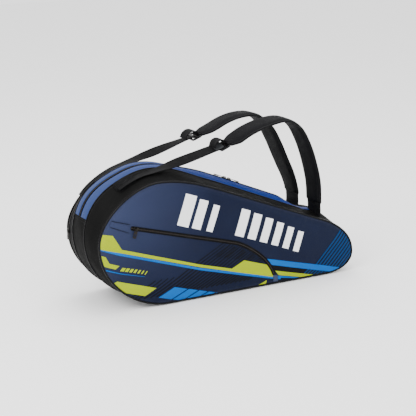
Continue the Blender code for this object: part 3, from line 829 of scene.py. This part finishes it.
def under_zip(point):
    """Whether a point of the panel is on the pocket, below its zip."""
    x, z = point
    if x > 0.140:
        return False
    beside = ZIP_LINE[np.argmin(np.abs(ZIP_LINE[:, 0] - x))]
    if z > beside[1] - 0.003:
        return False
    gaps = np.hypot(ZIP_LINE[:, 0] - x, ZIP_LINE[:, 1] - z)
    return x < ZIP_LINE[np.argmin(gaps), 0] + 0.001


MARK_FALL = 0.36  # the white bars' feet follow the bag's sloping top
white = []
for k, width in enumerate((0.0320, 0.0250, 0.0180)):
    white.append(bar(-0.168 + 0.0425 * k, 0.213 - 0.014 * k, width, 0.080 - 0.006 * k, 0.34, MARK_FALL))
for k in range(6):
    width = 0.0265 - 0.0018 * k
    foot = 0.003 + 0.0395 * k - 0.0006 * k * k
    white.append(bar(foot, 0.1600 - 0.0142 * k, width, 0.0700 - 0.0032 * k, 0.32, MARK_FALL))

SHAPES = print_shapes()
LAYERS = [("print_dark", DARK_PRINT_AND_SHADOW, SHAPES["ink"], 1), ("print_hatching", HATCH, SHAPES["hatch"], 1),
          ("print_deep_blue", DEEP, SHAPES["deep"], 2), ("print_blue", SKY, SHAPES["sky"], 3),
          ("print_lime", LIME, SHAPES["lime"], 4), ("print_white_bars", WHITE, white, 2)]
for name, finish, shapes, layer in LAYERS:
    skin = Skin()
    for shape in shapes:
        front.patch(skin, shape, PRINT_LIFT * layer, thick=PRINT_THICK)
    put(skin.made(name, finish), "front_side")


# The gusset: strips, bands and piping

def crowned(y_from, y_to, height):
    """A strip that stands up between its two seams."""
    middle, half = (y_from + y_to) / 2, abs(y_to - y_from) / 2
    return lambda s, y: height * (1.0 - np.clip(np.abs(y - middle) / half, 0, 1) ** 3)


def topstitched(y_from, y_to, height):
    """A crowned strip with a groove where it is topstitched beside each seam."""
    rise = crowned(y_from, y_to, height)
    low, high = min(y_from, y_to) + STITCH_INSET, max(y_from, y_to) - STITCH_INSET
    return lambda s, y: rise(s, y) - 0.0006 * (np.exp(-((y - low) / 0.0014) ** 2)
                                               + np.exp(-((y - high) / 0.0014) ** 2))


def sewn_band(name, s_from, s_to, y_from, y_to, body, nodes=(), fill=0.2, **shape):
    """A black band of gusset, lined and padded."""
    piece = band(name, s_from, s_to, y_from, y_to, BLACK, LINING, **shape)
    return put(piece, body, nodes)


zip_edge = ZIP_HALF + 0.0003
seam_edge = SEAM_Y - 0.0006
zip_from, zip_to = REAR_ZIP_Y - REAR_ZIP_HALF, REAR_ZIP_Y + REAR_ZIP_HALF
for name, y_from, y_to, body, node in (("front_blue_strip", -seam_edge, -zip_edge, "front_side", "front_strip"),
                                       ("rear_blue_strip", zip_edge, seam_edge, "core", "rear_strip")):
    put(band(name, S_HANDLE, S_HEAD, y_from, y_to, BLUE, LINING, relief=topstitched(y_from, y_to, 0.0020)),
        body, [node])
sewn_band("front_black_gusset", S_HANDLE, S_LOW, -GUSSET_EDGE_Y, -SEAM_Y - 0.0004, "front_side",
          ["front_gusset"], sag=0.0016)
sewn_band("rear_black_gusset", S_HANDLE, S_LOW, SEAM_Y + 0.0004, zip_from - 0.0003, "core",
          ["rear_gusset_inner"], sag=0.0014)
sewn_band("rear_outer_gusset", S_HANDLE, S_REAR_LOW, zip_to + 0.0003, GUSSET_EDGE_Y, "back_side")
sewn_band("rear_gusset_fold", S_REAR_LOW + 0.0004, S_LOW, zip_from, GUSSET_EDGE_Y, BACK_BEND,
          ["rear_gusset_outer", "rear_gusset_end"])
sewn_band("head_guard_skin", S_HEAD + 0.0006, S_LOW, -seam_edge, seam_edge, FRONT_HEAD_BEND,
          ["head_guard"], sag=0.0014)


def handle_dome(s, y):
    """The patch's swell over the handle end."""
    return 0.0085 * np.exp(-((s - S_HANDLE + 0.058) / 0.034) ** 2) * np.maximum(0.0, 1.0 - (y / GUSSET_EDGE_Y) ** 2)


sewn_band("handle_patch_near", 0.0006, S_HANDLE - 0.0006, -GUSSET_EDGE_Y, 0.0, FRONT_HANDLE_BEND,
          ["handle_patch"], sag=0.0012, relief=handle_dome)
sewn_band("handle_patch_far", 0.0006, S_HANDLE - 0.0006, 0.0, GUSSET_EDGE_Y, BACK_BEND,
          sag=0.0012, relief=handle_dome)
sewn_band("base_board_cover", S_LOW, PERIMETER, -GUSSET_EDGE_Y, GUSSET_EDGE_Y, "core", ["base_panel"],
          fill=0.9, thick=0.0046, sag=0.0003)


def piping(name, s_from, s_to, y, radius, lift, body, node):
    """A round cord along a seam, closed on itself where it goes all the way round."""
    ring = s_to - s_from == PERIMETER
    points, ups = seam_line(s_from, s_to, y, lift, step=0.003)
    if ring:
        points, ups = points[:-1], ups[:-1]
    skin = Skin()
    sweep(skin, points, ups, oval(2 * radius, 2 * radius, 14), ring=ring)
    return put(skin.made(name, PIPING), body, [node])


piping("front_edge_piping", 0.0, PERIMETER, -0.0990, PIPING_R, PIPING_R * 0.55, "front_side", "front_piping")
piping("back_edge_piping", 0.0, PERIMETER, 0.0990, PIPING_R, PIPING_R * 0.55, "back_side", "back_piping")
piping("front_seam_cord", S_HANDLE, S_LOW, -SEAM_Y, SEAM_PIPING_R, 0.0006, "front_side", "front_seam_piping")
piping("rear_seam_cord", S_HANDLE, S_LOW, SEAM_Y, SEAM_PIPING_R, 0.0006, "core", "rear_seam_piping")


# The zips: tape with a raised lip each side, and a row of teeth on each tape

def zip_side(name, s_from, s_to, y_seam, y_middle, stands_for, body):
    """One half of a zip: its tape, the cloth lip over it, and its teeth."""
    inward = 1.0 if y_middle > y_seam else -1.0
    middle = (y_seam + y_middle) / 2
    half = abs(y_middle - y_seam)
    skin = Skin()
    points, ups = seam_line(s_from, s_to, middle, -0.0006)
    sweep(skin, points, ups, oval(half - 0.0002, 0.0010, 12, power=4.0), mark=0)
    points, ups = seam_line(s_from, s_to, y_seam + inward * 0.0009, 0.0006)
    sweep(skin, points, ups, oval(0.0026, 0.0017, 12), mark=0)
    points, ups = seam_line(s_from, s_to, y_middle - inward * 0.0008, 0.0004, step=0.0024)
    row_of(skin, points, ups, 0.0016, (0.0010, 0.0022, 0.0016), BLOCK, BLOCK_FACES, mark=1)
    return put(skin.made(name, TAPE, COIL), body, stands_for)


zip_side("main_zip_front_half", S_HANDLE, S_HEAD, -ZIP_HALF, 0.0, ["front_zip_tape"], "front_side")
zip_side("main_zip_core_half", S_HANDLE, S_HEAD, ZIP_HALF, 0.0, ["core_zip_tape"], "core")
zip_side("rear_zip_inner_half", S_HANDLE, S_REAR_LOW, zip_from, REAR_ZIP_Y, ["rear_zip_tape_inner"], "core")
zip_side("rear_zip_outer_half", S_HANDLE, S_REAR_LOW, zip_to, REAR_ZIP_Y, ["rear_zip_tape_outer"], "back_side")

skin = Skin()
for offset in (-1.0, 1.0):  # two lips with the coil between them
    across = leftward(ZIP_LINE)
    points, ups = front.drop(ZIP_LINE + across * offset * 0.0034, 0.0006)
    sweep(skin, points, ups, oval(0.0044, 0.0022, 14, power=2.6), taper=0.002, mark=0)
    points, ups = front.drop(ZIP_LINE + across * offset * 0.0008, 0.0010)
    row_of(skin, points, ups, 0.0016, (0.0011, 0.0020, 0.0014), BLOCK, BLOCK_FACES, turn=0.25 * offset, mark=1)
points, ups = front.drop(ZIP_LINE, 0.0003)
sweep(skin, points, ups, oval(0.0036, 0.0010, 10, power=4.0), mark=2)
put(skin.made("pocket_zip", TAPE, COIL, THREAD_DARK), "front_side", ["pocket_zip_tape"])


def tab(name, loop, finish, thread, node, body="front_side", thick=0.0016):
    """A small patch of cloth sewn on the front panel, with its stitches."""
    loop = np.array(loop)
    skin = Skin()
    front.patch(skin, loop, thick, thick=thick + 0.0001, cell=0.004)
    middle = loop.mean(axis=0)
    inner = middle + (loop - middle) * 0.80
    stitch = refined(np.concatenate([inner, inner[:1]]), 0.003)
    points, ups = front.drop(stitch, thick + 0.0002)
    row_of(skin, points, ups, 0.0034, (0.0026, 0.0007, 0.0006), mark=1)
    return put(skin.made(name, finish, thread), body, [node])


tab("zip_start_patch", [(-0.350, 0.2475), (-0.3035, 0.2325), (-0.2990, 0.2160), (-0.306, 0.2135), (-0.356, 0.2340)],
    NAVY, THREAD_NAVY, "pocket_flap")
tab("zip_end_patch", [(0.1235, 0.0290), (0.1385, 0.0275), (0.1420, 0.0080), (0.1270, 0.0100)],
    fabric("grey navy", "2f3950", "353f58", 0.5), THREAD_NAVY, "pocket_end_tab")


# Painted shadows: thin dark strokes along the upper and lower edges of the zip start patch.
skin = Skin()
for path in ([(-0.350, 0.2485), (-0.3020, 0.2340)], [(-0.354, 0.2335), (-0.3060, 0.2125)]):
    front.patch(skin, stroke(path, 0.0013, 0.0008), 0.0020, thick=0.0004)
put(skin.made("zip_start_painted_shadows", DARK_PRINT_AND_SHADOW), "front_side")


# Stitches

def stitched(name, finish, body, lines):
    """Rows of stitches. Each line is (points, normals)."""
    skin = Skin()
    for points, ups in lines:
        row_of(skin, points, ups, 0.0044, (0.0033, 0.0008, 0.0007))
    return put(skin.made(name, finish), body)


def panel_seam(panel, inset):
    loop = panel_loop(inset, 0.004)
    return panel.drop(np.concatenate([loop, loop[:1]]), STITCH_LIFT)


stitched("front_panel_stitches", THREAD_NAVY, "front_side", [panel_seam(front, 0.0052)])
stitched("back_panel_stitches", THREAD_NAVY, "back_side", [panel_seam(back, 0.0052), panel_seam(back, 0.0110)])
SEAM_ROWS = [  # name, thread, body, lift, and each row's end and its distance from the middle plane
    ("front_strip_stitches", THREAD_BLUE, "front_side", STRIP_STITCH_LIFT,
     [(S_HEAD, -seam_edge + STITCH_INSET), (S_HEAD, -zip_edge - STITCH_INSET)]),
    ("rear_strip_stitches", THREAD_BLUE, "core", STRIP_STITCH_LIFT,
     [(S_HEAD, seam_edge - STITCH_INSET), (S_HEAD, zip_edge + STITCH_INSET)]),
    ("front_gusset_stitches", THREAD_DARK, "front_side", STITCH_LIFT,
     [(S_LOW, -SEAM_Y - 0.0050), (S_LOW, -0.0925)]),
    ("rear_gusset_stitches", THREAD_DARK, "core", STITCH_LIFT,
     [(S_LOW, SEAM_Y + 0.0050), (S_REAR_LOW, zip_from - 0.0035)]),
]
for name, thread, body, lift, rows in SEAM_ROWS:
    stitched(name, thread, body, [seam_line(S_HANDLE, s_to, y, lift) for s_to, y in rows])
stitched("head_guard_stitches", THREAD_DARK, FRONT_HEAD_BEND,
         [surface(np.full(24, S_HEAD + inset), np.linspace(-SEAM_Y + 0.003, SEAM_Y - 0.003, 24), 0.0002)
          for inset in (0.0035, 0.0080)])
for name, bend, y_from, y_to in (("handle_patch_near_stitches", FRONT_HANDLE_BEND, -0.094, -0.002),
                                 ("handle_patch_far_stitches", BACK_BEND, 0.002, 0.094)):
    stitched(name, THREAD_DARK, bend,
             [surface(np.full(30, S_HANDLE - PATCH_SEAM), np.linspace(y_from, y_to, 30), PATCH_STITCH_LIFT)])


# The straps

def lifted(path, y, step=0.005):
    """A path in X and Z as 3-D points at one y, and its normals on the left of travel."""
    flat = smooth_path(path, step)
    tangent = unit(np.gradient(flat, axis=0))
    points = np.stack([flat[:, 0], np.full(len(flat), y), flat[:, 1]], axis=1)
    return points, np.stack([tangent[:, 1], np.zeros(len(flat)), -tangent[:, 0]], axis=1)


def padded_strap(name, path, y, body, node, foot_roll, tip_roll):
    """A foam strap: a crowned pad, a binding round its edges, and two rows of stitches each side.
    It rolls from foot to tip, and narrows where it is sewn to its buckle."""
    points, ups = lifted(path, y)
    along = lengths_along(points)
    sway = 0.0010 * np.array([noise.noise(Vector((s * 9.0, y * 40, 0.0))) for s in along])
    points = points + ups * sway[:, None]
    share = along / along[-1]
    roll = (foot_roll * ease(share / 0.20) * ease((0.75 - share) / 0.35)
            + tip_roll * ease((share - 0.45) / 0.4))[:, None]
    ups = ups * np.cos(roll) - np.array([[0.0, 1.0, 0.0]]) * np.sin(roll)
    widths = 0.60 + 0.40 * ease((along[-1] - along) / 0.030)
    skin = Skin()
    width = STRAP_WIDTH - 0.004
    turn = np.linspace(0.0, 2.0 * math.pi, 40, endpoint=False)
    c, s = np.cos(turn), np.sin(turn)
    reach = width / 2 * np.sign(c) * np.abs(c) ** 0.62
    thick = 0.0058 * (1.0 - 0.55 * (np.abs(reach) / (width / 2)) ** 5)
    groove = 0.0009 * np.exp(-((np.abs(reach) - (width / 2 - 0.0075)) / 0.0013) ** 2)
    profile = np.stack([reach, np.sign(s) * np.abs(s) ** 0.5 * (thick - groove)], axis=1)
    sweep(skin, points, ups, profile, taper=0.007, mark=0, widths=widths)
    across = unit(np.cross(unit(np.gradient(points, axis=0)), ups)) * widths[:, None]
    for side in (-1.0, 1.0):
        edge = points + across * side * (STRAP_WIDTH / 2 - 0.0026)
        sweep(skin, edge, ups, oval(0.0056, 0.0058, 14, power=2.4), taper=0.004, mark=1)
        for face in (-1.0, 1.0):
            line = points + across * side * (width / 2 - 0.0075) + ups * face * 0.0047
            row_of(skin, line, ups * face, 0.0044, (0.0033, 0.0009, 0.0008), mark=2)
    return put(skin.made(name, STRAP, BINDING, THREAD_DARK, sharp=60.0), body, [node])


padded_strap("near_padded_strap", NEAR_PAD, -STRAP_Y, "near_strap", "near_strap_pad", math.radians(-3.0),
             math.radians(4.0))
padded_strap("far_padded_strap", FAR_PAD, STRAP_Y, "far_strap", "far_strap_pad", math.radians(-7.0),
             math.radians(-2.0))


def flat_strap(name, points, ups, width, thick, body, nodes, finish=WEBBING):
    skin = Skin()
    sweep(skin, points, ups, oval(width, thick, 20, power=5.0), mark=0)
    return put(skin.made(name, finish, sharp=40.0), body, nodes)


def webbing(name, path, y, s_end, body, nodes, low_roll, top_roll):
    """Webbing that hangs free from its buckle, leaning towards the printed side, then lies on the gusset."""
    free = smooth_path(path, 0.005)
    start = station_near(*free[-1]) + 0.014
    laid, _ = seam_line(start, s_end, y, 0.0010, step=0.005)
    flat = smooth_path(np.concatenate([free[:-1:4], laid[::3][:, [0, 2]], laid[-1:, [0, 2]]]), 0.004)
    tangent = unit(np.gradient(flat, axis=0))
    points = np.stack([flat[:, 0], np.full(len(flat), y), flat[:, 1]], axis=1)
    ups = np.stack([tangent[:, 1], np.zeros(len(flat)), -tangent[:, 0]], axis=1)
    share = (flat[:, 0] - free[-1, 0]) / (free[0, 0] - free[-1, 0])
    roll = (low_roll * ease(share / 0.4) + (top_roll - low_roll) * ease((share - 0.4) / 0.6))[:, None]
    ups = ups * np.cos(roll) - np.array([[0.0, 1.0, 0.0]]) * np.sin(roll)
    return flat_strap(name, points, ups, WEBBING_WIDTH, 0.0022, body, nodes)


S_NEAR_END = station_near(-0.300, 0.298)
S_FAR_END = station_near(-0.345, 0.262)
webbing("near_strap_webbing", NEAR_FREE_WEBBING, -WEBBING_Y, S_NEAR_END,
        ("front_side", "near_strap", (-0.205, -WEBBING_Y, 0.351), (-0.030, -WEBBING_Y, 0.389)), ["near_webbing"],
        math.radians(20.0), math.radians(12.0))
webbing("far_strap_webbing", FAR_FREE_WEBBING, WEBBING_Y, S_FAR_END,
        ("core", "far_strap", (-0.245, WEBBING_Y, 0.351), (-0.050, WEBBING_Y, 0.395)), ["far_webbing"],
        math.radians(16.0), math.radians(-6.0))


def anchor(name, s_end, y, body, node):
    """The sewn end of a webbing: a patch over it with a stitched box and cross."""
    skin = Skin()
    points, ups = seam_line(s_end - 0.048, s_end + 0.004, y, 0.0022, step=0.004)
    sweep(skin, points, ups, oval(WEBBING_WIDTH + 0.001, 0.0016, 20, power=5.0), taper=0.003, mark=0)
    s0, s1, half = s_end - 0.042, s_end - 0.002, WEBBING_WIDTH / 2 - 0.004
    corners = [(s0, -half), (s1, -half), (s1, half), (s0, half), (s0, -half), (s1, half), (s1, -half), (s0, half)]
    for (a, b), (c, d) in zip(corners, corners[1:]):
        line = surface(np.linspace(a, c, 12), y + np.linspace(b, d, 12), 0.0031)
        row_of(skin, *line, 0.0040, (0.0031, 0.0009, 0.0007), mark=1)
    return put(skin.made(name, WEBBING, THREAD_DARK, sharp=40.0), body, [node])


anchor("near_sewn_end", S_NEAR_END, -WEBBING_Y, "front_side", "near_strap_anchor")
anchor("far_sewn_end", S_FAR_END, WEBBING_Y, "core", "far_strap_anchor")


def strap_root(name, y, node, moving):
    """The short flat tongue that a pad is sewn to."""
    skin = Skin()
    path = [(0.2800, 0.1560), (0.2838, 0.1700), (0.2845, 0.1840), (0.2836, 0.1960), (0.2832, 0.2080)]
    points, ups = lifted(path, y, step=0.003)
    sweep(skin, points, ups, oval(STRAP_WIDTH - 0.006, 0.0034, 24, power=4.0), mark=0)
    return put(skin.made(name, STRAP, sharp=40.0), moving, [node])


strap_root("near_strap_root", -STRAP_Y, "near_strap_foot",
           ("front_side", "near_strap", (0.283, -STRAP_Y, 0.1800), (0.283, -STRAP_Y, 0.2020)))
strap_root("far_strap_root", STRAP_Y, "far_strap_foot",
           ("core", "far_strap", (0.283, STRAP_Y, 0.1800), (0.283, STRAP_Y, 0.2020)))


def tail(name, path, y, body, node):
    points, ups = lifted(path, y, step=0.003)
    return flat_strap(name, points, ups, WEBBING_WIDTH, 0.0020, body, [node])


tail("near_webbing_end", [(0.000, 0.3960), (-0.006, 0.4070), (-0.019, 0.4130), (-0.033, 0.4075), (-0.039, 0.3930)],
     -WEBBING_Y, "near_strap", "near_webbing_tail")
tail("far_webbing_end", [(-0.022, 0.4040), (-0.030, 0.4130), (-0.043, 0.4160), (-0.057, 0.4090), (-0.064, 0.3960)],
     WEBBING_Y, "far_strap", "far_webbing_tail")


def buckle_loop(name, bar_at, pad_at, y, body):
    """A short webbing loop that holds a buckle's bar to its pad."""
    (bx, bz), (px, pz) = bar_at, pad_at
    path = [(px, pz + 0.0022), ((bx + px) / 2, (bz + pz) / 2 + 0.0030), (bx, bz + 0.0036), (bx - 0.0040, bz),
            (bx, bz - 0.0036), ((bx + px) / 2, (bz + pz) / 2 - 0.0030), (px, pz - 0.0022)]
    points, ups = lifted(path, y, step=0.002)
    return flat_strap(name, points, ups, WEBBING_WIDTH - 0.002, 0.0018, body, [])


# The near buckle's lip, coloured light grey as a painted highlight on the black buckle.
lip, lip_ups = lifted([(-0.014, 0.4000), (-0.024, 0.3965), (-0.037, 0.3930)], -WEBBING_Y, step=0.003)
flat_strap("near_buckle_highlight_lip", lip, lip_ups * math.cos(0.4) - np.array([[0.0, math.sin(0.4), 0.0]]), 0.0330, 0.0018,
           "near_strap", [], BUCKLE_HIGHLIGHT)
buckle_loop("near_buckle_loop", (0.0005, 0.3955), (0.0180, 0.4035), -STRAP_Y, "near_strap")
buckle_loop("far_buckle_loop", (-0.0235, 0.4020), (-0.0060, 0.4085), STRAP_Y, "far_strap")
put(band("front_blue_tip", station_near(0.279, 0.160), S_HANDLE, -seam_edge, -0.0120, BLUE, LINING, thick=0.0012,
         lift=0.0012, sag=0.0002, relief=handle_dome), FRONT_HANDLE_BEND)


# Inside: the lining sheet between the compartments, and the pocket's pouch

def flat_skin(name, loop, y_from, y_to, finish, cell=0.020):
    """A flat closed sheet with a shape in X and Z."""
    inner = inside_points(loop, cell, cell * 0.4)
    flat = np.concatenate([loop, inner])
    verts, _, faces, _, _, _ = delaunay_2d_cdt([Vector(p) for p in flat], [], [list(range(len(loop)))], 1, 1e-6)
    flat = np.array([tuple(v) for v in verts])
    count, edge = len(flat), len(loop)
    wave = 0.0012 * ripple(flat[:, 0] * 12, flat[:, 1] * 12)
    points = [(x, y + w, z) for y in (y_from, y_to) for (x, z), w in zip(flat, wave)]
    weave = [(x, z, 0.0) for _ in (0, 1) for x, z in flat]
    skin = Skin()
    faces = [tuple(f) for f in faces]
    rim = [(k, (k + 1) % edge, count + (k + 1) % edge, count + k) for k in range(edge)]
    skin.add(points, weave, faces + [tuple(count + k for k in f) for f in faces] + rim)
    return skin.made(name, finish)


lining = put(flat_skin("compartment_lining", panel_loop(0.0095, 0.012), 0.0422, 0.0432, LINING), "core",
             ["divider"])
pouch_loop = refined(np.array([(-0.285, 0.205), (-0.025, 0.132), (0.050, 0.098), (0.105, 0.050), (0.105, 0.040),
                               (-0.190, 0.040), (-0.285, 0.110)]), 0.015)
put(flat_skin("pocket_pouch_cloth", pouch_loop, -0.0935, -0.0895, LINING), "front_side", ["pocket_pouch"])


# The hard parts are the frame's own, with their edges eased

def dressed(name, finish, width=0.0003):
    node = NODES[name]
    node.data.materials.clear()
    node.data.materials.append(finish)
    ease_edges = node.modifiers.new("eased edges", "BEVEL")
    ease_edges.width = width
    ease_edges.segments = 2
    ease_edges.limit_method = "ANGLE"
    ease_edges.angle_limit = math.radians(35.0)


for name in ("main_slider_a", "main_slider_b", "rear_slider", "pocket_slider", "main_puller_a", "main_puller_b",
             "rear_puller", "pocket_puller"):
    dressed(name, METAL)
for name in ("near_ladder_lock", "far_ladder_lock"):
    dressed(name, BUCKLE, 0.0008)


def pull_grip(name, node, pivot, body):
    """A moulded grip on the end of a zip pull, along the line from its pivot."""
    corners = np.array([tuple(NODES[node].matrix_world @ v.co) for v in NODES[node].data.vertices])
    reach = corners[:, [0, 2]] - pivot
    far = reach[np.argmax(np.hypot(*reach.T))]
    ahead = far / np.hypot(*far)
    out = np.array([-ahead[1], ahead[0]]) * np.sign(ahead[0])
    flat = pivot + ahead * (np.hypot(*far) - 0.006 + np.linspace(0.0, GRIP_LENGTH, 9)[:, None])
    points = np.stack([flat[:, 0], np.zeros(9), flat[:, 1]], axis=1)
    skin = Skin()
    sweep(skin, points, np.array([[out[0], 0.0, out[1]]] * 9), oval(0.0060, 0.0030, 16), taper=0.003)
    put(skin.made(name, BUCKLE), body)


pull_grip("head_pull_grip", "main_puller_a", (0.03074, 0.29086), "main_zip_head_pull")
pull_grip("handle_pull_grip", "main_puller_b", (0.04424, 0.28530), "main_zip_handle_pull")


# The stage

def floor():
    mesh = bpy.data.meshes.new("floor")
    mesh.from_pydata([(-6, -6, -0.0006), (6, -6, -0.0006), (6, 6, -0.0006), (-6, 6, -0.0006)], [], [(0, 1, 2, 3)])
    ground = bpy.data.objects.new("floor", mesh)
    bpy.context.scene.collection.objects.link(ground)
    pale = bpy.data.materials.new("pale floor")
    pale.use_nodes = True
    pale.node_tree.nodes["Principled BSDF"].inputs["Base Color"].default_value = (0.93, 0.93, 0.93, 1.0)
    pale.node_tree.nodes["Principled BSDF"].inputs["Roughness"].default_value = 0.75
    mesh.materials.append(pale)


def soft_light(name, place, aim, size, energy):
    lamp = bpy.data.lights.new(name, "AREA")
    lamp.shape = "DISK"
    lamp.size = size
    lamp.energy = energy
    made = bpy.data.objects.new(name, lamp)
    bpy.context.scene.collection.objects.link(made)
    made.location = place
    made.rotation_mode = "QUATERNION"
    made.rotation_quaternion = (Vector(aim) - Vector(place)).to_track_quat("-Z", "Y")


CAMERA_PLACE = Vector((-1.6504, -2.9426, 1.1762))
CAMERA_AIM = Vector((-0.0193, 0.0, 0.2115))

floor()
soft_light("upper left", (-2.4, -1.2, 2.4), (-0.1, 0.0, 0.2), 1.8, 80)
soft_light("front", (0.8, -3.2, 1.8), (0.0, 0.0, 0.15), 2.2, 30)
soft_light("overhead", (0.2, 0.6, 3.0), (0.0, 0.0, 0.2), 2.6, 55)
world = bpy.data.worlds.new("studio")
world.use_nodes = True
world.node_tree.nodes["Background"].inputs["Color"].default_value = (1.0, 1.0, 1.0, 1.0)
world.node_tree.nodes["Background"].inputs["Strength"].default_value = 1.9
bpy.context.scene.world = world

camera = bpy.data.objects.new("camera", bpy.data.cameras.new("camera"))
bpy.context.scene.collection.objects.link(camera)
camera.location = CAMERA_PLACE
camera.rotation_mode = "QUATERNION"
camera.rotation_quaternion = (CAMERA_AIM - CAMERA_PLACE).to_track_quat("-Z", "Y")
camera.data.sensor_width = 36.0
camera.data.lens = 113.0
camera.data.clip_end = 50.0
bpy.context.scene.camera = camera
